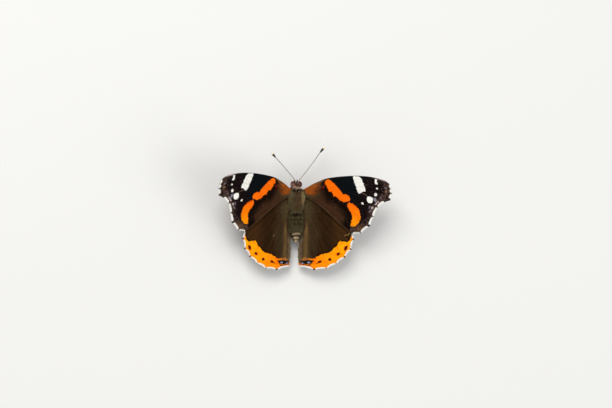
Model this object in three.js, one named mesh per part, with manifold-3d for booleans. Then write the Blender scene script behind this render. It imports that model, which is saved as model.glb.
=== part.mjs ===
// Red admiral butterfly (Vanessa atalanta) at life size, basking with its wings open.
// Millimetres. The head faces -Y, +X is the animal's left, +Z is up, and the feet stand on z = 0.
// Lengths on the body are measured from the middle of the thorax, which stands BODY_HEIGHT over the floor.
import * as THREE from 'three';
import { mergeVertices } from 'three/addons/utils/BufferGeometryUtils.js';
import Module from 'manifold-3d';

const wasm = await Module();
wasm.setup();

// Driving dimensions
const BODY_HEIGHT = 6.6;
const GAP = 0.3;
const HALF_WIDTH = 2.85;
const MEMBRANE = 0.5;
const VEIN_RIDGE = 0.17;
const VEIN_HALF_WIDTH = 0.4;
const ROOT_SWELL = 0.22;
const ROOT_REACH = 1.8;

// Spacing of the points over a wing, and how near they may come to each other and to its edge
const VEIN_STEP = 1.7;
const MARGIN_STEP = 1.3;
const SCALLOP_STEP = 1.0;
const FILL_STEP = 2.3;
const FILL_JITTER = 0.05;
const VEIN_SPACING = 0.5;
const FLANK_SPACING = 0.36;
const EDGE_CLEARANCE = 0.45;

// Body, as stations along Y: [y, half width, half height, height of the centre line]
const THORAX = [
  [-3.95, 0.95, 0.95, -0.15],
  [-3.6, 1.65, 1.6, -0.1],
  [-2.6, 2.5, 2.3, 0],
  [-1.1, HALF_WIDTH, 2.7, 0.05],
  [0.7, HALF_WIDTH, 2.7, 0],
  [2.3, 2.55, 2.4, -0.05],
  [3.4, 2.1, 2.05, -0.1],
  [3.75, 1.7, 1.7, -0.12],
];
const ABDOMEN = [
  [3.4, 1.9, 1.9, -0.12],
  [5.0, 2.25, 2.3, -0.2],
  [7.6, 2.35, 2.4, -0.4],
  [10.2, 2.15, 2.15, -0.7],
  [12.3, 1.55, 1.55, -1.0],
  [13.7, 0.85, 0.85, -1.22],
  [14.3, 0.45, 0.45, -1.3],
];
const BODY_SIDES = 20;
const THORAX_SLICES = 15;
const ABDOMEN_RINGS = 8;
const SLICES_PER_RING = 3;
const RING_GROOVE = 0.13;
const HEAD = { centre: [0, -5.3, -0.3], size: [1.2, 1.3, 1.4] };
const EYE = { centre: [1.05, -5.55, -0.25], size: [1.08, 1.15, 1.25] };
const SHOULDER = { centre: [1.95, -2.35, 1.25], size: [0.95, 1.25, 0.75] };

// Wings, each in its own plane: u outward from the hinge, v towards the tail
const FOREWING = {
  name: 'forewing',
  hinge: [2.4, -2.9, 1.5],
  dihedral: 22.5,
  pitch: 12.5,
  sweep: { left: -1.6, right: 1.6 },
  costa: [[-1.2, -0.3], [0.5, -1.3], [3.5, -3.1], [7.3, -4.8], [11.5, -5.6], [16.9, -6.1], [21.5, -6.0],
    [25.3, -5.4], [28.0, -4.5], [29.6, -3.2], [30.1, -2.2], [30.2, 0.0]],
  tips: [[29.6, 2.2], [25.4, 4.8], [24.0, 8.05], [22.6, 11.35], [19.5, 13.95], [16.3, 14.25]],
  hollows: [0.0, 0.45, 0.2, 0.15, 0.15, 0.05],
  inner: [[16.3, 14.25], [15.4, 13.5], [14.0, 12.3], [12.3, 11.0], [9.8, 8.6], [8.4, 7.35], [6.5, 5.65],
    [3.9, 3.6], [0.9, 2.0], [-1.2, 1.4]],
  veins: [
    [[-0.6, 0.1], [6.5, -1.6], [12.6, -2.3]],
    [[-0.6, 0.1], [5.5, 0.9], [11.2, 3.0]],
    [[0.6, -0.5], [8.5, -3.9], [16.3, -5.9]],
    [[9.3, -2.1], [14.5, -4.0], [20.8, -5.9]],
    [[12.0, -2.3], [18.0, -3.7], [24.6, -5.3]],
    [[12.6, -2.3], [20.5, -2.9], [28.1, -4.3]],
    [[22.0, -3.1], [26.2, -2.8], [30.0, -2.4]],
    [[19.5, -2.8], [25.0, -1.4], [30.1, 0.0]],
    [[12.8, -1.9], [21.5, -0.7], [29.6, 2.2]],
    [[13.3, -0.1], [19.8, 1.6], [25.4, 4.8]],
    [[12.6, 1.9], [18.5, 4.4], [24.0, 8.05]],
    [[11.2, 3.0], [17.2, 6.6], [22.6, 11.35]],
    [[6.8, 1.3], [13.3, 6.6], [19.5, 13.95]],
    [[-0.3, 0.9], [8.6, 5.6], [17.7, 13.95]],
    [[12.6, -2.3], [13.6, -0.2], [11.2, 3.0]],
  ],
  camber: (u, v) => -0.0016 * (u - 12) ** 2 - 0.0028 * (v - 2) ** 2 * Math.min(1, u / 20),
};
const HINDWING = {
  name: 'hindwing',
  hinge: [2.4, 0.2, 0.1],
  dihedral: 14,
  pitch: 4,
  sweep: { left: -0.5, right: 0.5 },
  costa: [[-1.0, -0.7], [0.8, -1.5], [4.0, -2.3], [9.0, -1.3], [13.6, 1.9], [16.1, 5.0]],
  tips: [[16.7, 8.0], [17.5, 13.0], [16.6, 16.5], [14.5, 19.2], [11.6, 21.5], [8.2, 23.2], [4.05, 23.65],
    [-1.3, 22.5]],
  hollows: [0.0, 0.1, 0.3, 0.3, 0.3, 0.3, 0.3, 0.25],
  inner: [[-1.3, 22.5], [-1.6, 19.0], [-1.55, 15.8], [-0.75, 12.6], [0.35, 9.4], [0.5, 5.5], [0.2, 2.6],
    [-1.0, 1.3]],
  veins: [
    [[-0.4, -0.4], [8.2, 0.0], [16.6, 8.0]],
    [[2.2, -0.1], [10.6, 4.2], [17.4, 13.0]],
    [[-0.4, 0.1], [3.4, 1.6], [6.0, 5.6]],
    [[6.0, 5.6], [12.2, 9.8], [16.6, 16.5]],
    [[6.0, 5.6], [10.2, 12.2], [14.5, 19.2]],
    [[5.0, 10.2], [8.9, 15.6], [11.6, 21.5]],
    [[5.0, 10.2], [6.8, 16.6], [8.2, 23.2]],
    [[-0.4, 0.3], [3.3, 3.6], [5.0, 10.2]],
    [[3.7, 5.6], [4.1, 14.8], [4.05, 23.65]],
    [[-0.4, 0.6], [2.0, 9.5], [-0.4, 22.6]],
  ],
  camber: (u, v) => -0.0015 * (u - 8) ** 2 - 0.0012 * (v - 11) ** 2
    - 0.05 * Math.max(0, 2.5 - u) ** 2 * Math.min(1, Math.max(0, v - 1) / 5),
};

// Feelers and mouth: centre lines and radii from root to tip
const ANTENNA = {
  left: [[0.38, -5.9, 0.6], [0.8, -7.0, 1.2], [3.3, -9.9, 1.6], [6.0, -12.8, 2.1], [8.2, -15.0, 2.5],
    [9.35, -16.4, 2.6]],
  right: [[0.38, -5.9, 0.6], [0.8, -7.0, 1.2], [3.4, -10.3, 1.6], [5.8, -13.6, 2.1], [7.6, -16.2, 2.45],
    [9.3, -18.3, 2.6]],
  radii: [0.3, 0.26, 0.26, 0.26, 0.26, 0.26, 0.26, 0.27, 0.42, 0.5, 0.42],
};
const PALP = { line: [[0.5, -5.9, -1.0], [0.48, -6.7, -0.8], [0.46, -7.3, -0.2]], radii: [0.36, 0.3, 0.18] };
const PROBOSCIS = {
  centre: [0, -6.0, -2.85],
  turns: 1.25,
  inner: 0.25,
  outer: 1.0,
  radii: [0.22, 0.2],
  slices: 20,
};
const FORELEG = {
  line: [[1.25, -2.2, -2.0], [1.2, -3.5, -2.75], [1.05, -4.8, -3.0], [1.0, -5.15, -2.45]],
  radii: [0.34, 0.32, 0.3, 0.2],
};

// Rounded ends of feelers and legs: a last ring and a pole, in radii beyond the end of the line
const DOME = { ring: 0.6, width: 0.75, pole: 0.95 };

// Walking legs: joints from the body out to the toes, heights over the floor
const LEGS = {
  midleg: { hip: [1.3, -0.9, 4.4], knee: [5.1, -2.7, 4.7], ankle: [7.5, -4.1, 0.7], toes: [10, -5.7, 0.22] },
  hindleg: { hip: [1.2, 1.5, 4.4], knee: [4.5, 5.0, 4.6], ankle: [6.6, 8.6, 0.7], toes: [7.9, 11.8, 0.22] },
};
const LEG_RADII = { femur: [0.36, 0.44, 0.34], tibia: [0.34, 0.33, 0.28], tarsus: [0.3, 0.3, 0.28] };
const SEGMENT_BOW = { femur: 0.25, tibia: 0.1, tarsus: -0.22 };
const FLOOR_SLAB = { side: 40, depth: 4 };

// Colours of the real surfaces
const finish = (color, roughness) => new THREE.MeshStandardMaterial({ color, roughness, metalness: 0 });
const MATERIALS = {
  fur: finish(0x4b442d, 0.9),
  abdomen: finish(0x5b5138, 0.85),
  head: finish(0x5f4634, 0.85),
  eye: finish(0x4a2a1e, 0.25),
  antenna: finish(0x2a221c, 0.6),
  leg: finish(0x8a7452, 0.7),
  forewing: finish(0x2a1c16, 0.75),
  hindwing: finish(0x3c2a1c, 0.75),
};

// Closed meshes as solids, and solids as closed meshes
function toSolid(geometry) {
  const bare = geometry.clone();
  bare.deleteAttribute('normal');
  bare.deleteAttribute('uv');
  const merged = mergeVertices(bare, 1e-4);
  return new wasm.Manifold(new wasm.Mesh({
    numProp: 3,
    vertProperties: Float32Array.from(merged.attributes.position.array),
    triVerts: Uint32Array.from(merged.index.array),
  }));
}

function toGeometry(solid) {
  const pieces = solid.decompose();
  const whole = pieces.reduce((best, piece) => (piece.volume() > best.volume() ? piece : best));
  const mesh = whole.getMesh();
  const geometry = new THREE.BufferGeometry();
  geometry.setAttribute('position', new THREE.BufferAttribute(Float32Array.from(mesh.vertProperties), 3));
  geometry.setIndex(Array.from(mesh.triVerts));
  geometry.computeVertexNormals();
  return geometry;
}

function indexedGeometry(positions, triangles) {
  const geometry = new THREE.BufferGeometry();
  geometry.setAttribute('position', new THREE.Float32BufferAttribute(positions, 3));
  geometry.setIndex(triangles);
  return geometry;
}

// Closed surface over a stack of rings, each a list of points, with a pole at either end
function skinRings(rings, startPole, endPole) {
  const sides = rings[0].length;
  const positions = [...rings.flat(), startPole, endPole].flatMap((p) => [p.x, p.y, p.z]);
  const start = rings.length * sides;
  const triangles = [];
  for (let ring = 0; ring < rings.length - 1; ring += 1) {
    for (let i = 0; i < sides; i += 1) {
      const next = (i + 1) % sides;
      const [a, b] = [ring * sides + i, ring * sides + next];
      triangles.push(a, b, b + sides, a, b + sides, a + sides);
    }
  }
  const last = (rings.length - 1) * sides;
  for (let i = 0; i < sides; i += 1) {
    const next = (i + 1) % sides;
    triangles.push(start, next, i, start + 1, last + i, last + next);
  }
  return indexedGeometry(positions, triangles);
}

// Body part along Y: a smooth line through its stations, grown outwards where it is used as a cutter
function bodyLoft(stations, slices, grow, groove = () => 0) {
  const line = (pick) => new THREE.CatmullRomCurve3(stations.map(pick));
  const widths = line(([y, width, , z]) => new THREE.Vector3(y, width, z));
  const heights = line(([y, , height]) => new THREE.Vector3(y, height, 0));
  const front = stations[0];
  const back = stations[stations.length - 1];
  const middleY = (front[0] + back[0]) / 2;
  const stretch = 1 + (2 * grow) / (back[0] - front[0]);
  const rings = Array.from({ length: slices }, (_, slice) => {
    const t = slice / (slices - 1);
    const { x: y, y: width, z } = widths.getPoint(t);
    const height = heights.getPoint(t).y;
    return Array.from({ length: BODY_SIDES }, (__, k) => {
      const angle = (2 * Math.PI * k) / BODY_SIDES;
      return new THREE.Vector3(
        Math.sin(angle) * (width + grow - groove(slice)),
        middleY + (y - middleY) * stretch,
        z + Math.cos(angle) * (height + grow - groove(slice)),
      );
    });
  });
  const pole = (ring, station) => new THREE.Vector3(0, ring[0].y, station[3]);
  return skinRings(rings, pole(rings[0], front), pole(rings[slices - 1], back));
}

function ellipsoid({ centre, size }, grow = 0) {
  const geometry = new THREE.SphereGeometry(1, 16, 10);
  geometry.scale(size[0] + grow, size[1] + grow, size[2] + grow);
  geometry.translate(...centre);
  return geometry;
}

// Limb along a smooth line, its radius following the list of radii, with rounded ends
function limb(line, radii, { sides = 8, slices = 7, grow = 0 } = {}) {
  const curve = new THREE.CatmullRomCurve3(line.map((p) => new THREE.Vector3(...p)));
  const { normals, binormals, tangents } = curve.computeFrenetFrames(slices - 1);
  const thickness = new THREE.SplineCurve(radii.map((r, i) => new THREE.Vector2(i, r)));
  const ringAt = (centre, radius, slice) => Array.from({ length: sides }, (_, k) => {
    const angle = (2 * Math.PI * k) / sides;
    return centre.clone()
      .addScaledVector(normals[slice], Math.cos(angle) * radius)
      .addScaledVector(binormals[slice], Math.sin(angle) * radius);
  });
  const rings = Array.from({ length: slices }, (_, slice) => {
    const t = slice / (slices - 1);
    return ringAt(curve.getPointAt(t), thickness.getPoint(t).y + grow, slice);
  });
  const dome = (slice, t, radius, way) => {
    const beyond = (reach) => curve.getPointAt(t).addScaledVector(tangents[slice], way * reach * radius);
    return { ring: ringAt(beyond(DOME.ring), DOME.width * radius, slice), pole: beyond(DOME.pole) };
  };
  const start = dome(0, 0, radii[0] + grow, -1);
  const end = dome(slices - 1, 1, radii[radii.length - 1] + grow, 1);
  return skinRings([start.ring, ...rings, end.ring], start.pole, end.pole);
}

// Wing outline: the costa, the outer margin hollowed between the vein tips, and the inner margin
function samplePath(points, step) {
  const curve = new THREE.SplineCurve(points.map(([u, v]) => new THREE.Vector2(u, v)));
  return curve.getSpacedPoints(Math.max(2, Math.round(curve.getLength() / step)));
}

function wingOutline(wing) {
  const points = samplePath(wing.costa, MARGIN_STEP);
  wing.tips.forEach((tip, index) => {
    const from = points[points.length - 1].clone();
    const to = new THREE.Vector2(...tip);
    const chord = to.clone().sub(from);
    const inward = new THREE.Vector2(-chord.y, chord.x).normalize();
    const count = Math.max(1, Math.round(chord.length() / SCALLOP_STEP));
    for (let i = 1; i <= count; i += 1) {
      const depth = wing.hollows[index] * Math.sin((Math.PI * i) / count);
      points.push(from.clone().addScaledVector(chord, i / count).addScaledVector(inward, depth));
    }
  });
  points.push(...samplePath(wing.inner, MARGIN_STEP).slice(1));
  return points;
}

// Distance from a point to a chain of points
function distanceToChain(point, chain) {
  let nearest = Infinity;
  for (let i = 0; i < chain.length - 1; i += 1) {
    const along = chain[i + 1].clone().sub(chain[i]);
    const t = THREE.MathUtils.clamp(point.clone().sub(chain[i]).dot(along) / along.lengthSq(), 0, 1);
    nearest = Math.min(nearest, point.distanceTo(chain[i].clone().addScaledVector(along, t)));
  }
  return nearest;
}

function isInside(point, loop) {
  let inside = false;
  for (let i = 0, j = loop.length - 1; i < loop.length; j = i, i += 1) {
    const [a, b] = [loop[i], loop[j]];
    if ((a.y > point.y) !== (b.y > point.y)
      && point.x < ((b.x - a.x) * (point.y - a.y)) / (b.y - a.y) + a.x) inside = !inside;
  }
  return inside;
}

// Points over the wing: its outline, each vein with a row either side, and an even fill
function wingPoints(outline, veins) {
  const loop = [...outline, outline[0]];
  const points = [...outline];
  const add = (point, spacing, fromEdge) => {
    if (!isInside(point, outline) || distanceToChain(point, loop) < fromEdge) return;
    if (points.every((other) => other.distanceTo(point) >= spacing)) points.push(point);
  };
  veins.forEach((vein) => vein.forEach((point) => add(point, VEIN_SPACING, EDGE_CLEARANCE)));
  veins.forEach((vein) => vein.forEach((point, i) => {
    const along = vein[Math.min(i + 1, vein.length - 1)].clone().sub(vein[Math.max(i - 1, 0)]).normalize();
    const across = new THREE.Vector2(-along.y, along.x).multiplyScalar(VEIN_HALF_WIDTH);
    add(point.clone().add(across), FLANK_SPACING, EDGE_CLEARANCE);
    add(point.clone().sub(across), FLANK_SPACING, EDGE_CLEARANCE);
  }));
  const { min, max } = new THREE.Box2().setFromPoints(outline);
  const rowStep = (FILL_STEP * Math.sqrt(3)) / 2;
  for (let row = 0; min.y + row * rowStep < max.y; row += 1) {
    for (let u = min.x + (row % 2) * (FILL_STEP / 2); u < max.x; u += FILL_STEP) {
      const v = min.y + row * rowStep;
      const jitter = FILL_JITTER * Math.sin(7 * u + 11 * v);
      add(new THREE.Vector2(u + jitter, v - jitter), FILL_STEP / 2, FILL_STEP / 2.5);
    }
  }
  return points;
}

// Delaunay triangles over the points, by adding them one at a time
function triangulate(points) {
  const frame = [[-1000, -1000], [1000, -1000], [0, 1000]].map(([x, y]) => new THREE.Vector2(x, y));
  const all = [...points, ...frame];
  const circle = (a, b, c) => {
    const [p, q, r] = [all[a], all[b], all[c]];
    const d = 2 * (p.x * (q.y - r.y) + q.x * (r.y - p.y) + r.x * (p.y - q.y));
    const [pp, qq, rr] = [p.lengthSq(), q.lengthSq(), r.lengthSq()];
    const centre = new THREE.Vector2(
      (pp * (q.y - r.y) + qq * (r.y - p.y) + rr * (p.y - q.y)) / d,
      (pp * (r.x - q.x) + qq * (p.x - r.x) + rr * (q.x - p.x)) / d,
    );
    return { corners: [a, b, c], centre, reach: centre.distanceToSquared(p) };
  };
  const n = points.length;
  let triangles = [circle(n, n + 1, n + 2)];
  points.forEach((point, index) => {
    const edges = new Map();
    triangles = triangles.filter((triangle) => {
      if (triangle.centre.distanceToSquared(point) > triangle.reach) return true;
      const [a, b, c] = triangle.corners;
      [[a, b], [b, c], [c, a]].forEach(([from, to]) => {
        if (!edges.delete(`${to},${from}`)) edges.set(`${from},${to}`, [from, to]);
      });
      return false;
    });
    edges.forEach(([from, to]) => triangles.push(circle(from, to, index)));
  });
  return triangles.map((triangle) => triangle.corners).filter((corners) => Math.max(...corners) < n);
}

// Wing solid: one sheet of triangles, alike on both faces, with the veins raised in it
function wingGeometry(wing) {
  const outline = wingOutline(wing);
  const veins = [wing.costa, ...wing.veins].map((line) => samplePath(line, VEIN_STEP));
  const points = wingPoints(outline, veins);
  const halfThickness = (point) => {
    const ridge = Math.max(...veins.map((vein) => 1 - distanceToChain(point, vein) / VEIN_HALF_WIDTH), 0);
    const swell = Math.exp(-(point.x ** 2 + (2 * point.y) ** 2) / ROOT_REACH ** 2);
    return MEMBRANE / 2 + VEIN_RIDGE * ridge + ROOT_SWELL * swell;
  };
  const positions = [];
  [1, -1].forEach((face) => points.forEach((point) => {
    positions.push(point.x, point.y, wing.camber(point.x, point.y) + face * halfThickness(point));
  }));
  const n = points.length;
  const triangles = [];
  triangulate(points).forEach(([a, b, c]) => {
    const middle = points[a].clone().add(points[b]).add(points[c]).divideScalar(3);
    if (isInside(middle, outline)) triangles.push(a, b, c, n + a, n + c, n + b);
  });
  outline.forEach((_, i) => {
    const next = (i + 1) % outline.length;
    triangles.push(i, n + i, n + next, i, n + next, next);
  });
  return indexedGeometry(positions, triangles);
}

// Scene graph: the animal, its body raised over the floor, and one half per side
const animal = new THREE.Group();
const body = new THREE.Group();
body.position.z = BODY_HEIGHT;
animal.add(body);

function addMesh(group, name, solid, material) {
  const mesh = new THREE.Mesh(toGeometry(solid), material);
  mesh.name = name;
  group.add(mesh);
}

// Solids that neighbours are cut back from, grown by the gap that they keep
function thoraxSolid(grow) {
  const shoulders = [1, -1].map((side) => {
    const [x, y, z] = SHOULDER.centre;
    return toSolid(ellipsoid({ centre: [side * x, y, z], size: SHOULDER.size }, grow));
  });
  return wasm.Manifold.union([toSolid(bodyLoft(THORAX, THORAX_SLICES, grow)), ...shoulders]);
}
const thoraxCutter = thoraxSolid(GAP);
const headCutter = toSolid(ellipsoid(HEAD, GAP));

// Head, thorax and ringed abdomen
const groove = (slice) => (slice % SLICES_PER_RING === 0 ? RING_GROOVE : 0);
const abdomen = toSolid(bodyLoft(ABDOMEN, ABDOMEN_RINGS * SLICES_PER_RING + 1, 0, groove));
addMesh(body, 'head', toSolid(ellipsoid(HEAD)).subtract(thoraxCutter), MATERIALS.head);
addMesh(body, 'thorax', thoraxSolid(0), MATERIALS.fur);
addMesh(body, 'abdomen', abdomen.subtract(thoraxCutter), MATERIALS.abdomen);

// Coiled tongue under the head
const coil = Array.from({ length: PROBOSCIS.slices }, (_, i) => {
  const t = i / (PROBOSCIS.slices - 1);
  const angle = Math.PI / 2 + 2 * Math.PI * PROBOSCIS.turns * t;
  const reach = THREE.MathUtils.lerp(PROBOSCIS.outer, PROBOSCIS.inner, t);
  const [x, y, z] = PROBOSCIS.centre;
  return [x, y + reach * Math.cos(angle), z + reach * Math.sin(angle)];
});
const tongue = limb(coil, PROBOSCIS.radii, { sides: 6, slices: PROBOSCIS.slices });
addMesh(body, 'proboscis', toSolid(tongue).subtract(headCutter), MATERIALS.antenna);

// Wing on its hinge, cut back where its root meets the thorax
function addWing(half, wing, blade, side) {
  const hinge = new THREE.Group();
  hinge.position.set(...wing.hinge);
  const angles = [-wing.pitch, -wing.dihedral, wing.sweep[side]].map(THREE.MathUtils.degToRad);
  hinge.rotation.set(...angles, 'YXZ');
  hinge.updateMatrix();
  half.add(hinge);
  const cutter = thoraxCutter.transform(hinge.matrix.clone().invert().elements);
  addMesh(hinge, `${wing.name}_${side}`, blade.subtract(cutter), MATERIALS[wing.name]);
}

// Walking leg: each segment is cut back from the one that carries it, and the sole is flat on the floor
function addLeg(half, leg, joints, side) {
  const places = [joints.hip, joints.knee, joints.ankle, joints.toes]
    .map(([x, y, z]) => new THREE.Vector3(x, y, z - BODY_HEIGHT));
  const floor = new THREE.BoxGeometry(FLOOR_SLAB.side, FLOOR_SLAB.side, FLOOR_SLAB.depth);
  floor.translate(0, 0, -BODY_HEIGHT - FLOOR_SLAB.depth / 2);
  let carrier = thoraxCutter;
  Object.entries(LEG_RADII).forEach(([segment, radii], i) => {
    const bend = places[i].clone().lerp(places[i + 1], 0.5);
    bend.z += SEGMENT_BOW[segment];
    const line = [places[i], bend, places[i + 1]].map((place) => place.toArray());
    const solid = toSolid(limb(line, radii, { slices: 4 })).subtract(carrier).subtract(toSolid(floor));
    addMesh(half, `${leg}_${segment}_${side}`, solid, MATERIALS.leg);
    carrier = toSolid(limb(line, radii, { slices: 4, grow: GAP }));
  });
}

// Parts in pairs, all made as the left one and mirrored for the right
const blades = [FOREWING, HINDWING].map((wing) => [wing, toSolid(wingGeometry(wing))]);
['left', 'right'].forEach((side) => {
  const half = new THREE.Group();
  half.scale.x = side === 'left' ? 1 : -1;
  body.add(half);
  const antenna = limb(ANTENNA[side], ANTENNA.radii, { slices: 16 });
  const palp = limb(PALP.line, PALP.radii, { slices: 5 });
  const palpCutter = toSolid(limb(PALP.line, PALP.radii, { slices: 5, grow: GAP }));
  const foreleg = limb(FORELEG.line, FORELEG.radii, { slices: 8 });
  const eye = toSolid(ellipsoid(EYE)).subtract(headCutter).subtract(palpCutter);
  addMesh(half, `eye_${side}`, eye, MATERIALS.eye);
  addMesh(half, `antenna_${side}`, toSolid(antenna).subtract(headCutter), MATERIALS.antenna);
  addMesh(half, `palp_${side}`, toSolid(palp).subtract(headCutter), MATERIALS.head);
  addMesh(half, `foreleg_${side}`, toSolid(foreleg).subtract(thoraxCutter), MATERIALS.fur);
  blades.forEach(([wing, blade]) => addWing(half, wing, blade, side));
  Object.entries(LEGS).forEach(([leg, joints]) => addLeg(half, leg, joints, side));
});

// The origin is under the middle of the whole animal, on the floor
animal.updateMatrixWorld(true);
const box = new THREE.Box3().setFromObject(animal, true);
const middle = box.getCenter(new THREE.Vector3());
animal.position.set(-middle.x, -middle.y, -box.min.z);

export default animal;
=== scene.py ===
# Red admiral butterfly (Vanessa atalanta): skin, scales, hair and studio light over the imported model.
# Shapes are in millimetres from the middle of the thorax. The head faces -Y and +X is the animal's left.
import math
import bmesh
import bpy
import numpy as np
from mathutils import Matrix, Vector
from mathutils.geometry import delaunay_2d_cdt
from mathutils.kdtree import KDTree


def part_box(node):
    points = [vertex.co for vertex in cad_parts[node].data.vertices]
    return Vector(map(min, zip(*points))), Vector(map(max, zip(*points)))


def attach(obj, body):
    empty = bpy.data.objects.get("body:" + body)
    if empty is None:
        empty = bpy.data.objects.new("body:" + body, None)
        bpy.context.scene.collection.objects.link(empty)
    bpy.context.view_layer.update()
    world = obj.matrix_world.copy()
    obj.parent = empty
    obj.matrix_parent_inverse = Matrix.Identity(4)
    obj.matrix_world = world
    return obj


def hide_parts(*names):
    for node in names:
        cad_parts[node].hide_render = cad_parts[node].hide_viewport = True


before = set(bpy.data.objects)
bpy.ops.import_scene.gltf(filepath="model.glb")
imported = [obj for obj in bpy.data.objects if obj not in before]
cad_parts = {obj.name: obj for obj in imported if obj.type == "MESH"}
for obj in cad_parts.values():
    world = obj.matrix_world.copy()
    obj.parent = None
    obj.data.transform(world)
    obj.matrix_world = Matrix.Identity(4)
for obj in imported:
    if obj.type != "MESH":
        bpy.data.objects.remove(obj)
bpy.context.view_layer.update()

# Frame of the body: the middle of the thorax, from its packed box
MM = 0.001
BODY_HEIGHT = 6.6
THORAX_MIDDLE_TO_REFERENCE = 0.1
thorax_low, thorax_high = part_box("thorax")
BODY = np.array([
    (thorax_low.x + thorax_high.x) / 2 / MM,
    (thorax_low.y + thorax_high.y) / 2 / MM + THORAX_MIDDLE_TO_REFERENCE,
    BODY_HEIGHT,
])

# Camera: the photograph looks down, leaning to the animal's left
VIEW_LEAN = math.radians(14)
CAMERA_DISTANCE = 3000.0
FRAME_WIDTH = 209.6
SENSOR_WIDTH = 36.0
AIM_RIGHT = 3.3
AIM_DOWN = 1.2


# Colour and chance
def pigment(red, green, blue):
    """Linear colour of an 8-bit screen colour"""
    screen = np.array([red, green, blue]) / 255
    return np.where(screen <= 0.04045, screen / 12.92, ((screen + 0.055) / 1.055) ** 2.4)


def mix(first, second, share):
    return first + (second - first) * np.clip(share, 0, 1)[:, None]


def rise(value, low, high):
    """0 below low, 1 above high, smooth between"""
    t = np.clip((value - low) / (high - low), 0, 1)
    return t * t * (3 - 2 * t)


def bump(value, middle, reach):
    """1 at the middle, falling smoothly to 0 past the reach"""
    return np.exp(-(((value - middle) / reach) ** 2))


LATTICE = 64


def field(points, cell, seed):
    """Smooth random value between -1 and 1 at each point, with bumps about one cell across"""
    lattice = np.random.default_rng(seed).uniform(-1, 1, (LATTICE, LATTICE))
    place = points / np.asarray(cell, float)
    corner = np.floor(place).astype(int)
    t = place - corner
    t = t * t * (3 - 2 * t)
    (x0, y0), (x1, y1) = (corner % LATTICE).T, ((corner + 1) % LATTICE).T
    near = lattice[x0, y0] * (1 - t[:, 0]) + lattice[x1, y0] * t[:, 0]
    far = lattice[x0, y1] * (1 - t[:, 0]) + lattice[x1, y1] * t[:, 0]
    return near * (1 - t[:, 1]) + far * t[:, 1]


# Lines and areas
def unit(vectors):
    return vectors / np.linalg.norm(vectors, axis=1)[:, None]


def paced(line, step):
    """Points about one step apart along a line of straight stretches"""
    run = np.concatenate([[0], np.cumsum(np.linalg.norm(np.diff(line, axis=0), axis=1))])
    places = np.linspace(0, run[-1], max(2, round(run[-1] / step)) + 1)
    return np.column_stack([np.interp(places, run, column) for column in line.T])


CURVE_STEPS = 24


def smooth_line(points, step):
    """Points about one step apart on a smooth line through the given ones"""
    p = np.asarray(points, float)
    p = np.vstack([p[:1], p, p[-1:]])
    t = np.linspace(0, 1, CURVE_STEPS, endpoint=False)[:, None]
    pieces = []
    for i in range(1, len(p) - 2):
        start, end = (p[i + 1] - p[i - 1]) / 2, (p[i + 2] - p[i]) / 2
        chord = p[i + 1] - p[i]
        pieces.append(
            p[i] + start * t + (3 * chord - 2 * start - end) * t**2 + (start + end - 2 * chord) * t**3
        )
    return paced(np.vstack(pieces + [p[-1:]]), step)


class Lines:
    """Lines in a plane that distances are measured from"""

    SPACING = 0.04

    def __init__(self, *lines):
        places = np.vstack([paced(np.asarray(line, float), self.SPACING) for line in lines])
        self.tree = KDTree(len(places))
        for index, (u, v) in enumerate(places):
            self.tree.insert((u, v, 0), index)
        self.tree.balance()

    def gap(self, points):
        """Distance from each point to the lines"""
        return np.array([self.tree.find((u, v, 0))[2] for u, v in points.tolist()])


def inside(points, area):
    """Whether each point is inside the closed area"""
    result = np.zeros(len(points), bool)
    for a, b in zip(area, np.roll(area, 1, axis=0)):
        if a[1] == b[1]:
            continue
        crosses = (a[1] > points[:, 1]) != (b[1] > points[:, 1])
        reach = (b[0] - a[0]) * (points[:, 1] - a[1]) / (b[1] - a[1]) + a[0]
        result ^= crosses & (points[:, 0] < reach)
    return result


def depth_in(points, area):
    """Distance into an area from its edge, negative outside it"""
    loop = np.array([*area, area[0]])
    return Lines(loop).gap(points) * np.where(inside(points, loop), 1, -1)


def oval_depth(points, centre, size, turn=0.0):
    """Rough depth into an oval whose long axis is turned from +u by some degrees"""
    angle = math.radians(turn)
    offset = points - centre
    along = offset[:, 0] * math.cos(angle) + offset[:, 1] * math.sin(angle)
    across = offset[:, 1] * math.cos(angle) - offset[:, 0] * math.sin(angle)
    return (1 - np.hypot(along / size[0], across / size[1])) * min(size)


# Meshes
SIDES = ("left", "right")
DARKEST = 0.0005


class Heap:
    """Points, triangles, colours and bake places gathered for one piece"""

    def __init__(self):
        self.points, self.triangles, self.colours, self.places = [], [], [], []
        self.count = 0

    def add(self, points, triangles, colours, places=None):
        self.points.append(points)
        self.triangles.append(np.asarray(triangles) + self.count)
        self.colours.append(np.broadcast_to(colours, points.shape))
        if places is not None:
            self.places.append(places)
        self.count += len(points)

    def moved(self, place, flip):
        """The heap with its points placed by a function; flip where that mirrors them"""
        triangles = np.vstack(self.triangles)
        places = np.vstack(self.places) if self.places else None
        other = Heap()
        other.add(place(np.vstack(self.points)), triangles[:, ::-1] if flip else triangles,
                  np.vstack(self.colours), places)
        return other

    def on_side(self, side):
        """The heap as it is for the left side, or its mirror image for the right"""
        return self.moved(lambda points: points * [1 if side == "left" else -1, 1, 1], side == "right")


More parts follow.
